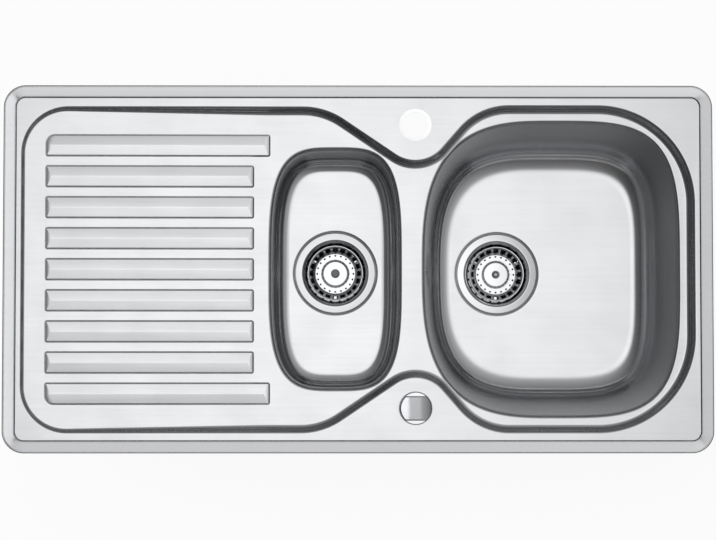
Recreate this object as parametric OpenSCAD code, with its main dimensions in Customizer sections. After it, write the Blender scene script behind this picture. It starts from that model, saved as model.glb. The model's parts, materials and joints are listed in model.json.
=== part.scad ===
// Inset stainless steel sink: ribbed drainer, half bowl and main bowl in one pressed deck, with
// two basket strainer wastes, an overflow and a rotary control that lifts the main basket.
// The origin is the middle of the deck's outline on the worktop. +X runs to the main bowl,
// +Y to the back, +Z up. Millimetres.

/* [Deck] */
// Length of the deck over its rim
deck_l = 965; // [940:1:1000]
// Depth of the deck from front to back
deck_w = 500; // [490:1:520]
// Radius of the deck's outer corners
deck_r = 30; // [24:1:40]
// Thickness of the steel sheet
sheet_t = 1; // [0.8:0.1:1.2]
// Width of the raised rim band
rim_w = 17.6; // [15:0.2:19]
// Height of the rim's crest above the worktop
rim_h = 5.4; // [4.6:0.1:6.4]
// Height of the flat ledge inside the rim
ledge_h = 3.8; // [3.2:0.1:4.2]

/* [Wet area] */
// Distance from the deck's left end to the wet area
wet_left = 23.6; // [22:0.2:28]
// Distance from the deck's right end to the wet area
wet_right = 24.4; // [22:0.2:27]
// Distance from the front and back edges to the wet area
wet_side = 27; // [25:0.5:29]
// Corner radius of the wet area at the drainer end
wet_r_left = 64; // [50:1:70]
// Corner radius of the wet area at the main bowl end
wet_r_right = 133; // [120:1:140]
// Depth of the wet area at the drainer end
fall_start = 4.6; // [4:0.2:6]
// Depth of the wet area around the bowls
fall_end = 10; // [8.6:0.2:11]
// Distance of the tap and control holes from the sink's middle, to the right
hole_x = 77.4; // [70:0.2:84]
// Distance of the tap hole from the back edge
tap_back = 54.4; // [50:0.2:58]
// Distance of the control's hole from the front edge
control_front = 61; // [56:0.5:66]
// Bore of the tap hole and of the control's hole
deck_bore = 35; // [32:0.5:36]
// Width of the coined edge round the tap hole
coin_w = 4.2; // [3:0.2:5]
// Radius of the wet area's edge where it passes round the tap hole
dip_r = 47.4; // [44:0.2:50]
// Slope of that edge on the drainer side, in degrees
dip_left = 34; // [30:1:38]
// Slope of that edge on the main bowl side, in degrees
dip_right = 49; // [44:1:52]

/* [Drainer ribs] */
// Number of ribs
rib_n = 9; // [7:2:9]
// Distance between ribs
rib_pitch = 42.2; // [38:0.2:43]
// Width of a rib at its foot
rib_w = 30.8; // [24:0.2:32]
// Height of a rib at its shoulders
rib_h = 2; // [1.6:0.1:2.4]
// Rise of a rib's roof above its shoulders
rib_roof = 0.8; // [0.4:0.1:1.2]
// Length of the middle ribs
rib_l = 284; // [270:1:290]
// Extra length of the outer two ribs
rib_extra = 22; // [10:1:24]
// Distance from the deck's left end to the ribs
rib_start = 56.8; // [52:0.2:60]
// Radius of a rib's corners
rib_corner = 3.6; // [2.4:0.2:4.4]
// Radius of the outer ribs' end corner
rib_corner_big = 13; // [10:0.5:14]

/* [Main bowl] */
// Width of the bridge between the two bowls
bridge_w = 26.35; // [24:0.05:30]
// Distance from the main bowl's mouth to the wet area's right end
main_end = 18.7; // [17:0.1:24]
// Distance from the main bowl's mouth to the wet area's front and back edges
main_side = 19.5; // [18.5:0.5:25]
// Depth of the main bowl
main_depth = 155; // [145:1:170]
// Radius between wall and floor of the main bowl
main_round = 24.5; // [20:0.5:28]
// Distance of the main waste from the left end of the bowl's mouth
main_waste_in = 112.6; // [112:0.1:117]

/* [Half bowl] */
// Length of the half bowl's mouth
half_l = 182.5; // [180:0.5:184]
// Distance from the half bowl's mouth to the wet area's front and back edges
half_side = 56.3; // [54:0.1:60]
// Distance of the half bowl's middle from the sink's middle, to the left
half_x = 31.6; // [31:0.1:33]
// Depth of the half bowl
half_depth = 126; // [118:1:135]
// Radius between wall and floor of the half bowl
half_round = 15; // [12:0.5:16]

/* [Bowl walls] */
// Lean of the main bowl's walls, in degrees
main_draft = 7.5; // [6.5:0.25:8]
// Lean of the half bowl's walls, in degrees
half_draft = 3; // [2.5:0.25:3.5]
// Fall of the floor to the waste
floor_fall = 1.2; // [0.8:0.1:1.6]
// Radius of the pressed seat round a waste
dish_r = 59; // [58.6:0.2:60]
// Depth of that seat
dish_d = 1.8; // [1.4:0.1:2.2]

/* [Wastes] */
// Bore in the bowl for a strainer
waste_bore = 90; // [89:0.5:91]
// Diameter of the strainer's flange
flange_d = 114; // [112:0.5:115]
// Depth of the strainer cup
cup_depth = 27.2; // [26:0.2:30]
// Outer diameter of the waste's outlet
outlet_d = 47.8; // [46:0.1:48.4]
// Bore of the waste's outlet
outlet_bore = 40; // [38:0.2:41]
// Length of the outlet that a trap's nut slides on
outlet_l = 22; // [20:1:25]
// Length of the main waste's neck, with its outlet
main_neck = 48; // [46:1:60]
// Length of the half bowl's neck, with its outlet
half_neck = 28; // [27:1:40]
// Outer diameter of a basket's rim
basket_d = 78.4; // [76:0.2:80]
// Depth of a basket
basket_depth = 21; // [19:0.2:21]
// Slots round a basket
slot_n = 20; // [16:2:24]
// Holes in a basket's base
hole_n = 20; // [16:2:24]
// Diameter of a basket's centre spindle
stem_d = 5.1; // [4.8:0.1:5.4]
// Height that the basket is lifted by the control
lift = 10.7; // [9:0.1:11]

/* [Overflow] */
// Depth of the overflow's middle below the bowl's mouth
overflow_z = 46; // [44:1:52]
// Diameter of the pressed overflow pan
pan_d = 52; // [48:1:54]
// Outer diameter of the overflow hose
hose_d = 25; // [23:0.5:25]
// Wall of the overflow hose
hose_wall = 1.9; // [1.5:0.1:2.1]

/* [Control] */
// Diameter of the control knob
knob_d = 45; // [42:0.5:47]
// Width of the knob's grip
grip_w = 31.6; // [26:0.2:34]
// Height of the knob above its base
knob_h = 25; // [20:0.5:30]
// Throw of the crank pin
crank = 7.6; // [7:0.1:8]
// Diameter of the cable's sheath
cable_d = 5; // [4:0.2:5.6]

/* [Worktop clips] */
// Thickness of the worktop that the clips grip
worktop_t = 38; // [28:1:42]
// Width of a clip
clip_w = 22; // [16:1:26]

/* [Hidden] */

// Running clearance of a turning or sliding round piece, on the radius
run_gap = 0.05;
// Clearance of soft pieces and of links that only push
soft_gap = 0.3;
// Facets round a true round piece
$fn = 64;

// Points and rings
function unit(v) = v / norm(v);
function left_of(v) = [-v[1], v[0]];
function signed_pow(v, p) = sign(v) * pow(abs(v), p);
// Meeting point of two lines, each given as a unit normal and a distance
function meet(n1, d1, n2, d2) = let (k = n1[0] * n2[1] - n1[1] * n2[0])
    [(d1 * n2[1] - d2 * n1[1]) / k, (n1[0] * d2 - n2[0] * d1) / k];
// Arc that rounds the corner b between a and c, given by radius and number of steps
function round_corner(a, b, c, r, steps) = let (
        u = unit(a - b), v = unit(c - b), half = acos(u * v) / 2,
        mid = b + unit(u + v) * r / sin(half),
        p = b + u * r / tan(half) - mid, q = b + v * r / tan(half) - mid,
        a0 = atan2(p[1], p[0]), turn = atan2(q[1], q[0]) - a0,
        sweep = turn > 180 ? turn - 360 : turn < -180 ? turn + 360 : turn)
    [for (i = [0 : steps]) mid + r * [cos(a0 + sweep * i / steps), sin(a0 + sweep * i / steps)]];
// Outline from corners, each [x, y, radius, steps]; a corner with no radius stays a point
function rounded_outline(c) = [for (i = [0 : len(c) - 1]) let (
        n = len(c), a = c[(i + n - 1) % n], b = c[i], d = c[(i + 1) % n])
    each b[2] == 0 ? [[b[0], b[1]]]
        : round_corner([a[0], a[1]], [b[0], b[1]], [d[0], d[1]], b[2], b[3])];
// Outline moved inwards by its own distance at each point
function inset_outline(p, dist) = [for (i = [0 : len(p) - 1]) let (
        n = len(p), n1 = left_of(unit(p[i] - p[(i + n - 1) % n])),
        n2 = left_of(unit(p[(i + 1) % n] - p[i])))
    p[i] + (n1 + n2) / (1 + n1 * n2) * dist[i]];

// A closed skin over rings of points that each go round once, with the last joined to the first
module ring_skin(rings) {
    n = len(rings[0]);
    m = len(rings);
    polyhedron(points = [for (r = rings) each r],
        faces = [for (j = [0 : m - 1], i = [0 : n - 1]) let (
                a = j * n + i, b = j * n + (i + 1) % n,
                c = ((j + 1) % m) * n + (i + 1) % n, d = ((j + 1) % m) * n + i)
            each [[a, c, b], [a, d, c]]]);
}
// A skin over rings in a row, closed by a flat cap at each end
module tube_skin(rings) {
    n = len(rings[0]);
    m = len(rings);
    polyhedron(points = [for (r = rings) each r],
        faces = [for (j = [0 : m - 2], i = [0 : n - 1]) let (
                a = j * n + i, b = j * n + (i + 1) % n, c = b + n, d = a + n)
            each [[a, b, c], [a, c, d]],
            [for (i = [n - 1 : -1 : 0]) i], [for (i = [0 : n - 1]) (m - 1) * n + i]]);
}
// A tube wall, made of the rings of its outside and the rings of its bore
module hose_skin(outer, inner) {
    ring_skin(concat(outer, [for (j = [len(inner) - 1 : -1 : 0]) inner[j]]));
}
module at_each(places) {
    for (p = places) translate(p) children();
}
module ring(r_out, r_in, z0, z1) {
    rotate_extrude() translate([r_in, z0]) square([r_out - r_in, z1 - z0]);
}
// A profile in radius and height, carried round a rectangle with round corners
module round_sweep(l, w, r) {
    for (s = [0, 1]) {
        mirror([s, 0, 0]) translate([l / 2 - r, w / 2 - r, 0])
            rotate([90, 0, 0]) linear_extrude(w - 2 * r) children();
        mirror([0, s, 0]) translate([r - l / 2, w / 2 - r, 0])
            rotate([90, 0, 90]) linear_extrude(l - 2 * r) children();
        for (q = [0, 1]) mirror([s, 0, 0]) mirror([0, q, 0])
            translate([l / 2 - r, w / 2 - r, 0]) rotate_extrude(angle = 90) children();
    }
}
module rounded_plan(l, w, r) {
    square([l - 2 * r, w], center = true);
    square([l, w - 2 * r], center = true);
    for (x = [-1, 1], y = [-1, 1]) translate([x * (l / 2 - r), y * (w / 2 - r)]) circle(r);
}

// Deck: rim, ledge, wet area
lip_w = 3;
ledge_z = ledge_h;
wet_z = ledge_z - fall_end;
tap_y = deck_w / 2 - tap_back;
control_y = control_front - deck_w / 2;
wet_x0 = wet_left - deck_l / 2;
wet_x1 = deck_l / 2 - wet_right;
wet_y = deck_w / 2 - wet_side;
// The drainer falls to this fold, and the wet area is level from there on
fold_x = -half_x - half_l / 2 - 2.2;
// The bowls' mouths keep their distances to each other and to the wet area's edges
half_w = 2 * (wet_y - half_side);
main_w = 2 * (wet_y - main_side);
main_left = -half_x + half_l / 2 + bridge_w;
main_l = wet_x1 - main_end - main_left;
main_x = main_left + main_l / 2;
main_waste_x = main_left + main_waste_in;
function fall_at(x) = x > fold_x ? fall_end
    : fall_start + (fall_end - fall_start) * (x - wet_x0) / (fold_x - wet_x0);
fall_angle = atan((fall_end - fall_start) / (fold_x - wet_x0));

// The edge of the wet area passes round the tap hole on an arc between two sloping lines
dip_n1 = [-sin(dip_left), -cos(dip_left)];
dip_n2 = [sin(dip_right), -cos(dip_right)];
dip_c = [hole_x, tap_y];
dip_d1 = dip_n1 * dip_c + dip_r;
dip_d2 = dip_n2 * dip_c + dip_r;
dip_low = meet(dip_n1, dip_d1, dip_n2, dip_d2);
dip_a = meet(dip_n1, dip_d1, [0, 1], wet_y);
dip_b = meet(dip_n2, dip_d2, [0, 1], wet_y);
wet_back = [[wet_x1, wet_y, wet_r_right, 12], [dip_b[0], wet_y, 90, 5],
    [dip_low[0], dip_low[1], dip_r, 8], [dip_a[0], wet_y, 100, 4],
    [fold_x, wet_y, 0, 0], [wet_x0, wet_y, wet_r_left, 7]];
wet_corners = concat(wet_back,
    [for (i = [len(wet_back) - 1 : -1 : 0]) [wet_back[i][0], -wet_back[i][1],
        wet_back[i][2], wet_back[i][3]]]);
wet_outline = rounded_outline(wet_corners);
wet_fall = [for (p = wet_outline) fall_at(p[0])];
// The flat plates end on an outline of their own, inside the wall's turned edges
plate_outline = rounded_outline([for (c = wet_corners) c[3] == 0 ? [c[0] - 3, c[1], 0, 0]
    : [c[0], c[1], c[2] * 0.985, c[3] + 1]]);
wet_floor = inset_outline(plate_outline, [for (p = plate_outline) fall_at(p[0])]);

// One ring of the wet area's wall: share of the way in, extra way in, share of the fall,
// extra fall, and the sheet's thickness there
function wet_ring(row, under) = let (
        q = inset_outline(wet_outline, [for (f = wet_fall) f * row[0] + row[1]]))
    [for (i = [0 : len(q) - 1])
        [q[i][0], q[i][1], ledge_z - (row[2] > 0.95 ? fall_at(q[i][0]) : wet_fall[i] * row[2])
            - row[3] - (under ? row[4] : 0)]];
edge_in = 0.2 * sheet_t;
edge_t = 0.6 * sheet_t;
wet_rows = [[0, -2.4, 0, edge_in, edge_t], [0, 0.3, 0, edge_in, edge_t],
    [0.28, 0, 0.14, 0, sheet_t], [0.72, 0, 0.86, 0, sheet_t],
    [1, -0.3, 1, edge_in, edge_t], [1, 2.4, 1, edge_in, edge_t]];

module rim_profile() {
    polygon([for (p = [[0, 0], [lip_w, 0], [rim_w * 0.78, rim_h - sheet_t - 0.3],
            [rim_w * 0.89, rim_h - sheet_t], [rim_w - 0.6, ledge_z - sheet_t],
            [rim_w + 1, ledge_z - sheet_t], [rim_w + 1, ledge_z], [rim_w, ledge_z],
            [rim_w * 0.93, rim_h - 0.2], [rim_w * 0.88, rim_h], [rim_w * 0.76, rim_h - 0.3],
            [lip_w - 0.2, sheet_t + 0.2], [0.4, sheet_t], [0, sheet_t * 0.6]])
        [deck_r - p[0], p[1]]]);
}
module rib_shape(l, w, h, roof, slope) {
    // A roofed bar along X with sloping ends, its foot at z = 0
    intersection() {
        translate([-l / 2, 0, 0]) rotate([90, 0, 90]) linear_extrude(l)
            polygon([[-w / 2, -1], [w / 2, -1], [w / 2, 0], [w / 2 - slope, h], [0, h + roof],
                [slope - w / 2, h], [-w / 2, 0]]);
        translate([0, w / 2, 0]) rotate([90, 0, 0]) linear_extrude(w)
            polygon([[-l / 2, -1], [l / 2, -1], [l / 2, 0], [l / 2 - slope, h], [l / 2 - slope - 4,
                h + roof], [4 + slope - l / 2, h + roof], [slope - l / 2, h], [-l / 2, 0]]);
    }
}
module rib_corner_cut(l, w, r, x, y) {
    // What stands outside a round corner at the end x, side y of a bar
    translate([x * (l / 2 - r), y * (w / 2 - r), -2]) difference() {
        translate([x > 0 ? 0 : -r - 1, y > 0 ? 0 : -r - 1, 0]) cube([r + 1, r + 1, 8]);
        translate([0, 0, -1]) cylinder(r = r, h = 10);
    }
}
module rib(l, w, h, big, side) {
    difference() {
        rib_shape(l, w, h, rib_roof, 1.8);
        for (x = [-1, 1], y = [-1, 1]) rib_corner_cut(l, w,
            big > 0 && x < 0 && y == side ? big : rib_corner, x, y);
    }
}
module each_rib() {
    // The ribs stand on the falling drainer floor
    for (i = [-(rib_n - 1) / 2 : (rib_n - 1) / 2]) {
        outer = abs(i) == (rib_n - 1) / 2;
        $rib_big = outer ? rib_corner_big : 0;
        $rib_side = sign(i);
        $rib_len = rib_l + (outer ? rib_extra : 0);
        x0 = rib_start - deck_l / 2;
        translate([x0, i * rib_pitch, ledge_z - fall_at(x0)])
            rotate([0, fall_angle, 0]) translate([$rib_len / 2, 0, 0]) children();
    }
}
module wet_plate() {
    intersection() {
        translate([0, 0, -20]) linear_extrude(40) polygon(wet_floor);
        translate([0, deck_w / 2, 0]) rotate([90, 0, 0]) linear_extrude(deck_w)
            polygon([for (p = [[wet_x0, 0], [fold_x, 0], [wet_x1, 0], [wet_x1, sheet_t],
                [fold_x, sheet_t], [wet_x0, sheet_t]]) [p[0], ledge_z - fall_at(p[0]) - p[1]]]);
    }
}
module deck() {
    color("gainsboro") {
        round_sweep(deck_l, deck_w, deck_r) rim_profile();
        difference() {
            translate([0, 0, ledge_z - sheet_t]) linear_extrude(sheet_t) difference() {
                rounded_plan(deck_l - 2 * rim_w - 2, deck_w - 2 * rim_w - 2, deck_r - rim_w - 1);
                polygon(plate_outline);
                translate([hole_x, tap_y]) circle(deck_bore / 2 + coin_w - 0.5);
                translate([hole_x, control_y]) circle(deck_bore / 2);
            }
        }
        // The coined edge of the tap hole
        translate([hole_x, tap_y, ledge_z]) rotate_extrude() polygon([
            [deck_bore / 2 + coin_w + 1, -edge_in], [deck_bore / 2 + coin_w - 0.6, -edge_in],
            [deck_bore / 2 + 1.4, -1], [deck_bore / 2, -1], [deck_bore / 2, -1 - sheet_t],
            [deck_bore / 2 + 2, -1 - sheet_t], [deck_bore / 2 + coin_w, -edge_in - edge_t],
            [deck_bore / 2 + coin_w + 1, -edge_in - edge_t]]);
        ring_skin(concat([for (row = wet_rows) wet_ring(row, false)],
            [for (j = [len(wet_rows) - 1 : -1 : 0]) wet_ring(wet_rows[j], true)]));
        difference() {
            union() {
                difference() {
                    wet_plate();
                    translate([0, 0, wet_z - 5]) linear_extrude(10) polygon(mouth(MAIN));
                    translate([0, 0, wet_z - 5]) linear_extrude(10) polygon(mouth(HALF));
                }
                each_rib() translate([0, 0, -sheet_t / 2]) intersection() {
                    rib($rib_len, rib_w, rib_h + sheet_t / 2, $rib_big, $rib_side);
                    translate([0, 0, 5]) cube([500, 60, 10], center = true);
                }
            }
            each_rib() translate([0, 0, -sheet_t]) rib($rib_len - 2.2, rib_w - 2.2,
                rib_h, max(0, $rib_big - 1.1), $rib_side);
        }
    }
}

// Bowls. A bowl is [middle x, half length, half width, exponents at the left and right of the
// mouth, depth, wall lean, rounding, rounding across, waste x, exponent at the floor's right]
MAIN = [main_x, main_l / 2, main_w / 2, 2.8, 3.85, main_depth, main_draft, main_round, 30,
    main_waste_x, 4.4];
HALF = [-half_x, half_l / 2, half_w / 2, 3.3, 3.4, half_depth, half_draft, half_round, 16,
    -half_x, 3];
bowl_n = 64;
function oval(b, in_x, in_y, share) = [for (i = [0 : bowl_n - 1]) let (
        t = (i + 0.5) * 360 / bowl_n, n0 = cos(t) < 0 ? b[3] : b[4],
        n = n0 + ((cos(t) < 0 ? 3 : b[10]) - n0) * share)
    [b[0] + (b[1] - in_x) * signed_pow(cos(t), 2 / n), (b[2] - in_y) * signed_pow(sin(t), 2 / n)]];
function mouth(b) = oval(b, 0, 0, 0);
lip_in = 5;
// Rows of a bowl's wall: way in along X, way in along Y, depth, and the lean of the sheet
function wall_run(b) = (b[5] - b[7] - lip_in) * tan(b[6]);
function wall_rows(b) = let (w = wall_run(b), r = b[7], q = b[8])
    concat([[0, 0, 0, 90], [1.2, 1.2, 0.2, 70], [3.4, 3.4, 1.7, 40], [lip_in, lip_in, lip_in, b[6]]],
        [for (s = [0, 0.22, 0.45, 0.7, 1]) let (a = b[6] + (88 - b[6]) * s,
                out = (cos(b[6]) - cos(a)) / cos(b[6]), down = (sin(a) - sin(b[6])) / (1 - sin(b[6])))
            [lip_in + w + r * out, lip_in + w * q / r + q * out, b[5] - r + r * down, a]]);
function bowl_ring(b, row, under) = let (
        t = under ? sheet_t : 0, w = wall_run(b) + b[7] + lip_in,
        q = oval(b, row[0] - t * cos(row[3]), row[1] - t * cos(row[3]), row[0] / w))
    [for (p = q) [p[0], p[1], wet_z - row[2] - t * sin(row[3])]];
function waste_circle(b, z) = [for (i = [0 : bowl_n - 1]) let (t = (i + 0.5) * 360 / bowl_n)
    [b[9] + dish_r * cos(t), dish_r * sin(t), z]];
function seat_z(b) = wet_z - b[5] - floor_fall - dish_d;
module bowl_shell(b) {
    rows = wall_rows(b);
    z = wet_z - b[5] - floor_fall;
    ring_skin(concat([for (r = rows) bowl_ring(b, r, false)], [waste_circle(b, z)],
        [waste_circle(b, z - sheet_t)],
        [for (j = [len(rows) - 1 : -1 : 0]) bowl_ring(b, rows[j], true)]));
    // The pressed seat for the strainer, with its bore
    translate([b[9], 0, z]) rotate_extrude() polygon([[dish_r + 1.6, -0.15],
        [dish_r - 0.3, -0.15], [dish_r - 1.7, -dish_d], [waste_bore / 2, -dish_d],
        [waste_bore / 2, -dish_d - sheet_t], [dish_r - 1.2, -dish_d - sheet_t],
        [dish_r + 0.1, -0.6], [dish_r + 1.6, -0.6]]);
}
// Frame of the overflow: its middle on the wall's wet face, +Z into the bowl, +X down the wall
pan_in = lip_in + (overflow_z - lip_in) * tan(main_draft);
module at_overflow() {
    translate([main_x - main_l / 2 + pan_in, 0, wet_z - overflow_z])
        rotate([0, 90 - main_draft, 0]) children();
}
pan_r = pan_d / 2;
pan_deep = 2;
module main_bowl() {
    color("silver") difference() {
        union() {
            difference() {
                bowl_shell(MAIN);
                at_overflow() translate([0, 0, -6]) cylinder(r = pan_r + 1.2, h = 12);
            }
            at_overflow() rotate_extrude() polygon([[pan_r + 2.6, -0.1],
                [pan_r + 0.4, -0.1], [pan_r - 1.6, -pan_deep], [0, -pan_deep],
                [0, -pan_deep - sheet_t], [pan_r - 1.2, -pan_deep - sheet_t],
                [pan_r + 0.9, -0.5], [pan_r + 2.6, -0.5]]);
        }
        at_overflow() {
            translate([0, 0, -6]) cylinder(r = 2.8, h = 10);
            for (k = [[8, 9.5, 2.1], [14, 16.4, 2.1]], i = [0 : k[0] - 1])
                rotate(i * 360 / k[0] + 90 / k[0]) translate([k[1], 0, -6]) cylinder(r = k[2], h = 10);
        }
    }
}
module half_bowl() {
    color("silver") bowl_shell(HALF);
}

// Sound-deadening pads under the floors
pad_t = 2.5;
module main_sound_pad() {
    x0 = main_waste_x + dish_r + 8;
    x1 = main_x + main_l / 2 - wall_run(MAIN) - main_round - lip_in - 6;
    edge_z = wet_z - main_depth;
    tilt = atan(floor_fall / (x1 + 6 - main_waste_x - dish_r));
    color("dimgray") translate([x0, 0, edge_z - floor_fall * (1 - 8 / (x1 + 6 - x0 + 8))
            - sheet_t - 0.1 - pad_t]) rotate([0, -tilt, 0])
        translate([(x1 - x0) / 2, 0, 0]) linear_extrude(pad_t) rounded_plan(x1 - x0, main_w * 0.42, 12);
}
module half_sound_pads() {
    y0 = dish_r + 12;
    y1 = half_w / 2 - wall_run(HALF) - half_round - lip_in - 10;
    tilt = atan(floor_fall / (y1 - dish_r + 10));
    color("dimgray") for (s = [0, 1]) mirror([0, s, 0])
        translate([-half_x, y0, wet_z - half_depth - floor_fall - sheet_t - 0.1 - pad_t])
        rotate([tilt, 0, 0]) translate([0, (y1 - y0) / 2, 0])
            linear_extrude(pad_t) rounded_plan(half_l * 0.46, y1 - y0, 10);
}

// Foam strip under the rim
module rim_gasket() {
    under = (rim_h - sheet_t - 0.3) / (rim_w * 0.78 - lip_w);
    color("#3a3a3c") round_sweep(deck_l, deck_w, deck_r) polygon([
        for (p = [[lip_w + 1.6, 0], [lip_w + 8.4, 0], [lip_w + 8.4, 8.4 * under - soft_gap],
            [lip_w + 1.6, 1.6 * under - soft_gap]]) [deck_r - p[0], p[1]]]);
}

// Rails and clips. Places are distances in from the deck's edge
rail_in = rim_w + 2.7;
rail_t = 1.2;
rail_h = 14.8;
rail_foot = 1.8;
hook_w = 3.3;
clip_in = rail_in + rail_t + hook_w + 1.2;
hook_z = ledge_z - sheet_t - rail_h + rail_t;
arm_z = -worktop_t - 12;
screw_in = 8.4;
long_clips = [-380, -140, 160, 380];
short_clips = [-120, 120];
module at_clips() {
    for (s = [0, 1]) {
        mirror([0, s, 0]) for (x = long_clips) translate([x, deck_w / 2, 0]) rotate(-90) children();
        mirror([s, 0, 0]) for (y = short_clips) translate([deck_l / 2, y, 0]) rotate(180) children();
    }
}
// Profile given as distance in and height, made solid over a width
module strip(w, pts) {
    translate([0, w / 2, 0]) rotate([90, 0, 0]) linear_extrude(w) polygon(pts);
}
module rail(l) {
    top = ledge_z - sheet_t;
    strip(l, [[rail_in - rail_foot, top], [rail_in + rail_t, top], [rail_in + rail_t, hook_z],
        [rail_in + rail_t + hook_w, hook_z], [rail_in + rail_t + hook_w, hook_z - rail_t],
        [rail_in, hook_z - rail_t], [rail_in, top - rail_t], [rail_in - rail_foot, top - rail_t]]);
}
module clip_rails() {
    color("lightgray") for (s = [0, 1]) {
        mirror([0, s, 0]) translate([0, deck_w / 2, 0]) rotate(-90) rail(deck_l - 110);
        mirror([s, 0, 0]) translate([deck_l / 2, 0, 0]) rotate(180) rail(deck_w - 190);
    }
}
module clip_brackets() {
    t = rail_t;
    color("darkgray") at_clips() difference() {
        union() {
            strip(clip_w, [[rail_in + t + 0.5, hook_z], [clip_in, hook_z], [clip_in, arm_z + t],
                [screw_in - 8, arm_z + t], [screw_in - 8, arm_z], [clip_in + t, arm_z],
                [clip_in + t, hook_z + t], [rail_in + t + 0.5, hook_z + t]]);
            for (y = [-clip_w / 2, clip_w / 2 - t]) translate([0, y + t, 0]) rotate([90, 0, 0])
                linear_extrude(t) polygon([[clip_in - 9, arm_z + t], [clip_in, arm_z + t],
                    [clip_in, arm_z + t + 9]]);
            translate([screw_in, 0, arm_z]) cylinder(r = 4.6, h = 4.4);
        }
        translate([screw_in, 0, arm_z - 1]) cylinder(r = 2.5 + run_gap, h = 8);
    }
}
module clip_screws() {
    color("#b9bcc0") at_clips() translate([screw_in, 0, 0]) {
        translate([0, 0, arm_z - 6]) cylinder(r = 2.5, h = -worktop_t - 2 - arm_z + 6);
        translate([0, 0, arm_z - 10]) difference() {
            cylinder(r = 5.2, h = 4, $fn = 6);
            translate([-6, -0.6, -0.1]) cube([12, 1.2, 1.4]);
        }
    }
}
module clip_pads() {
    color("#2c2c2e") at_clips() translate([screw_in, 0, -worktop_t - 2]) rotate_extrude()
        polygon([[0, 0], [4.6, 0], [6.8, 1.2], [6.8, 2], [0, 2]]);
}

// Wastes, in a frame whose z = 0 is the seat in the bowl
cup_r = waste_bore / 2 - 1.1;
cup_t = 0.8;
seat_r = 25;
gasket_t = 1.2;
seal_t = 1.8;
body_top = -sheet_t - seal_t;
body_r = 47.6;
body_wall = 2.2;
hub_top = -cup_depth - cup_t - 8;
screw_r = 4.5;
screw_end = hub_top - 12;
neck_top = -cup_depth - 22;
stem_r = stem_d / 2;
stem_end = screw_end + 2;
main_neck_end = neck_top - main_neck;
half_neck_end = neck_top - half_neck;
// The neck is thicker above the outlet
neck_more = 1.8;
basket_top = -1.2;
base_z = basket_top - basket_depth;
disc_z = base_z + 4;
disc_r = 18.5;
base_r = 29.6;
inlet_z = -25;
inlet_r = 9.5;

module at_main() translate([main_waste_x, 0, seat_z(MAIN)]) children();
module at_half() translate([-half_x, 0, seat_z(HALF)]) children();

module strainer_cup() {
    r = flange_d / 2;
    f = -cup_depth;
    color("whitesmoke") difference() {
        union() {
            rotate_extrude() polygon([[r, 0.3], [r, gasket_t + 0.2], [r - 0.8, gasket_t + cup_t],
                [cup_r + 3.6, gasket_t + 1.4], [cup_r + 1.9, gasket_t + 1], [cup_r + 0.8, 0.8],
                [cup_r, -1.5], [cup_r - 0.8, f + 3.2], [cup_r - 2.3, f + 0.8], [cup_r - 5.3, f],
                [seat_r, f], [seat_r, f - cup_t], [cup_r - 5, f - cup_t], [cup_r - 1.7, f + 0.2],
                [cup_r, f + 2.9], [cup_r + 0.9, -1.8], [cup_r + 0.9, 0.2],
                [cup_r + 2.4, gasket_t], [r - 0.8, gasket_t], [r - 0.8, 0.3]]);
            translate([0, 0, f - cup_t]) cylinder(r = 9, h = cup_t);
            for (a = [30, 150, 270]) rotate(a) translate([6, -3, f - cup_t])
                cube([seat_r - 5, 6, cup_t]);
        }
        translate([0, 0, f - 2]) cylinder(r = screw_r + 0.2, h = 4);
    }
}
module flange_gasket() {
    color("#303032") ring(flange_d / 2 - 1.4, waste_bore / 2 + 1.4, 0, gasket_t);
}
module body_seal() {
    color("#303032") ring(flange_d / 2 - 2, waste_bore / 2 + 1.2, body_top, -sheet_t);
}
module waste_body_shell(neck_end) {
    rotate_extrude() polygon([[body_r - body_wall, body_top], [flange_d / 2 - 1, body_top],
        [flange_d / 2 - 1, body_top - 3.4], [body_r + 0.6, body_top - 5],
        [body_r, body_top - 6], [body_r, neck_top + 15], [body_r - 3.6, neck_top + 11],
        [outlet_d / 2 + neck_more + 1.4, neck_top + 2], [outlet_d / 2 + neck_more, neck_top - 1],
        [outlet_d / 2 + neck_more, neck_end + outlet_l], [outlet_d / 2, neck_end + outlet_l],
        [outlet_d / 2, neck_end],
        [outlet_bore / 2, neck_end], [outlet_bore / 2, neck_top + 1],
        [outlet_bore / 2 + 2.5, neck_top + 4], [body_r - 5.6, neck_top + 14],
        [body_r - body_wall, neck_top + 17]]);
}
module body_hub(hub_end) {
    // The centre hub, carried by three ribs inside the body
    translate([0, 0, hub_end]) cylinder(r = 9, h = hub_top - hub_end);
    intersection() {
        for (a = [90, 210, 330]) rotate(a) translate([6.5, -1.6, neck_top + 5])
            cube([body_r, 3.2, hub_top - neck_top - 6]);
        rotate_extrude() polygon([[0, hub_top + 1], [body_r - 1, hub_top + 1],
            [body_r - 1, neck_top + 15], [body_r - 5, neck_top + 12],
            [outlet_bore / 2 + 3, neck_top + 2.5], [0, neck_top + 2.5]]);
    }
}
// The lifting rocker: an axle across the neck, a finger under the pin and an arm outside
axle_x = -14;
axle_z = neck_top - 14;
axle_r = 3;
swing = 45;
finger = lift / 2 / sin(swing / 2);
finger_t = 3;
tip_r = 2.5;
port_y = 32;
gland_t = 6;
arm_y = port_y + gland_t + 1;
arm_t = 4;
slot_h = 13;
wire_z = axle_z + slot_h;
wire_y = arm_y + arm_t + 2.5;
wire_r = 0.8;
nipple_r = 2;
wire_pull = 2 * slot_h * tan(swing / 2);
ferrule_l = 15;
bracket_x = -40;
hub_end = axle_z + 11;
pin_low = axle_z - finger * sin(swing / 2) + tip_r + soft_gap;

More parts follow.
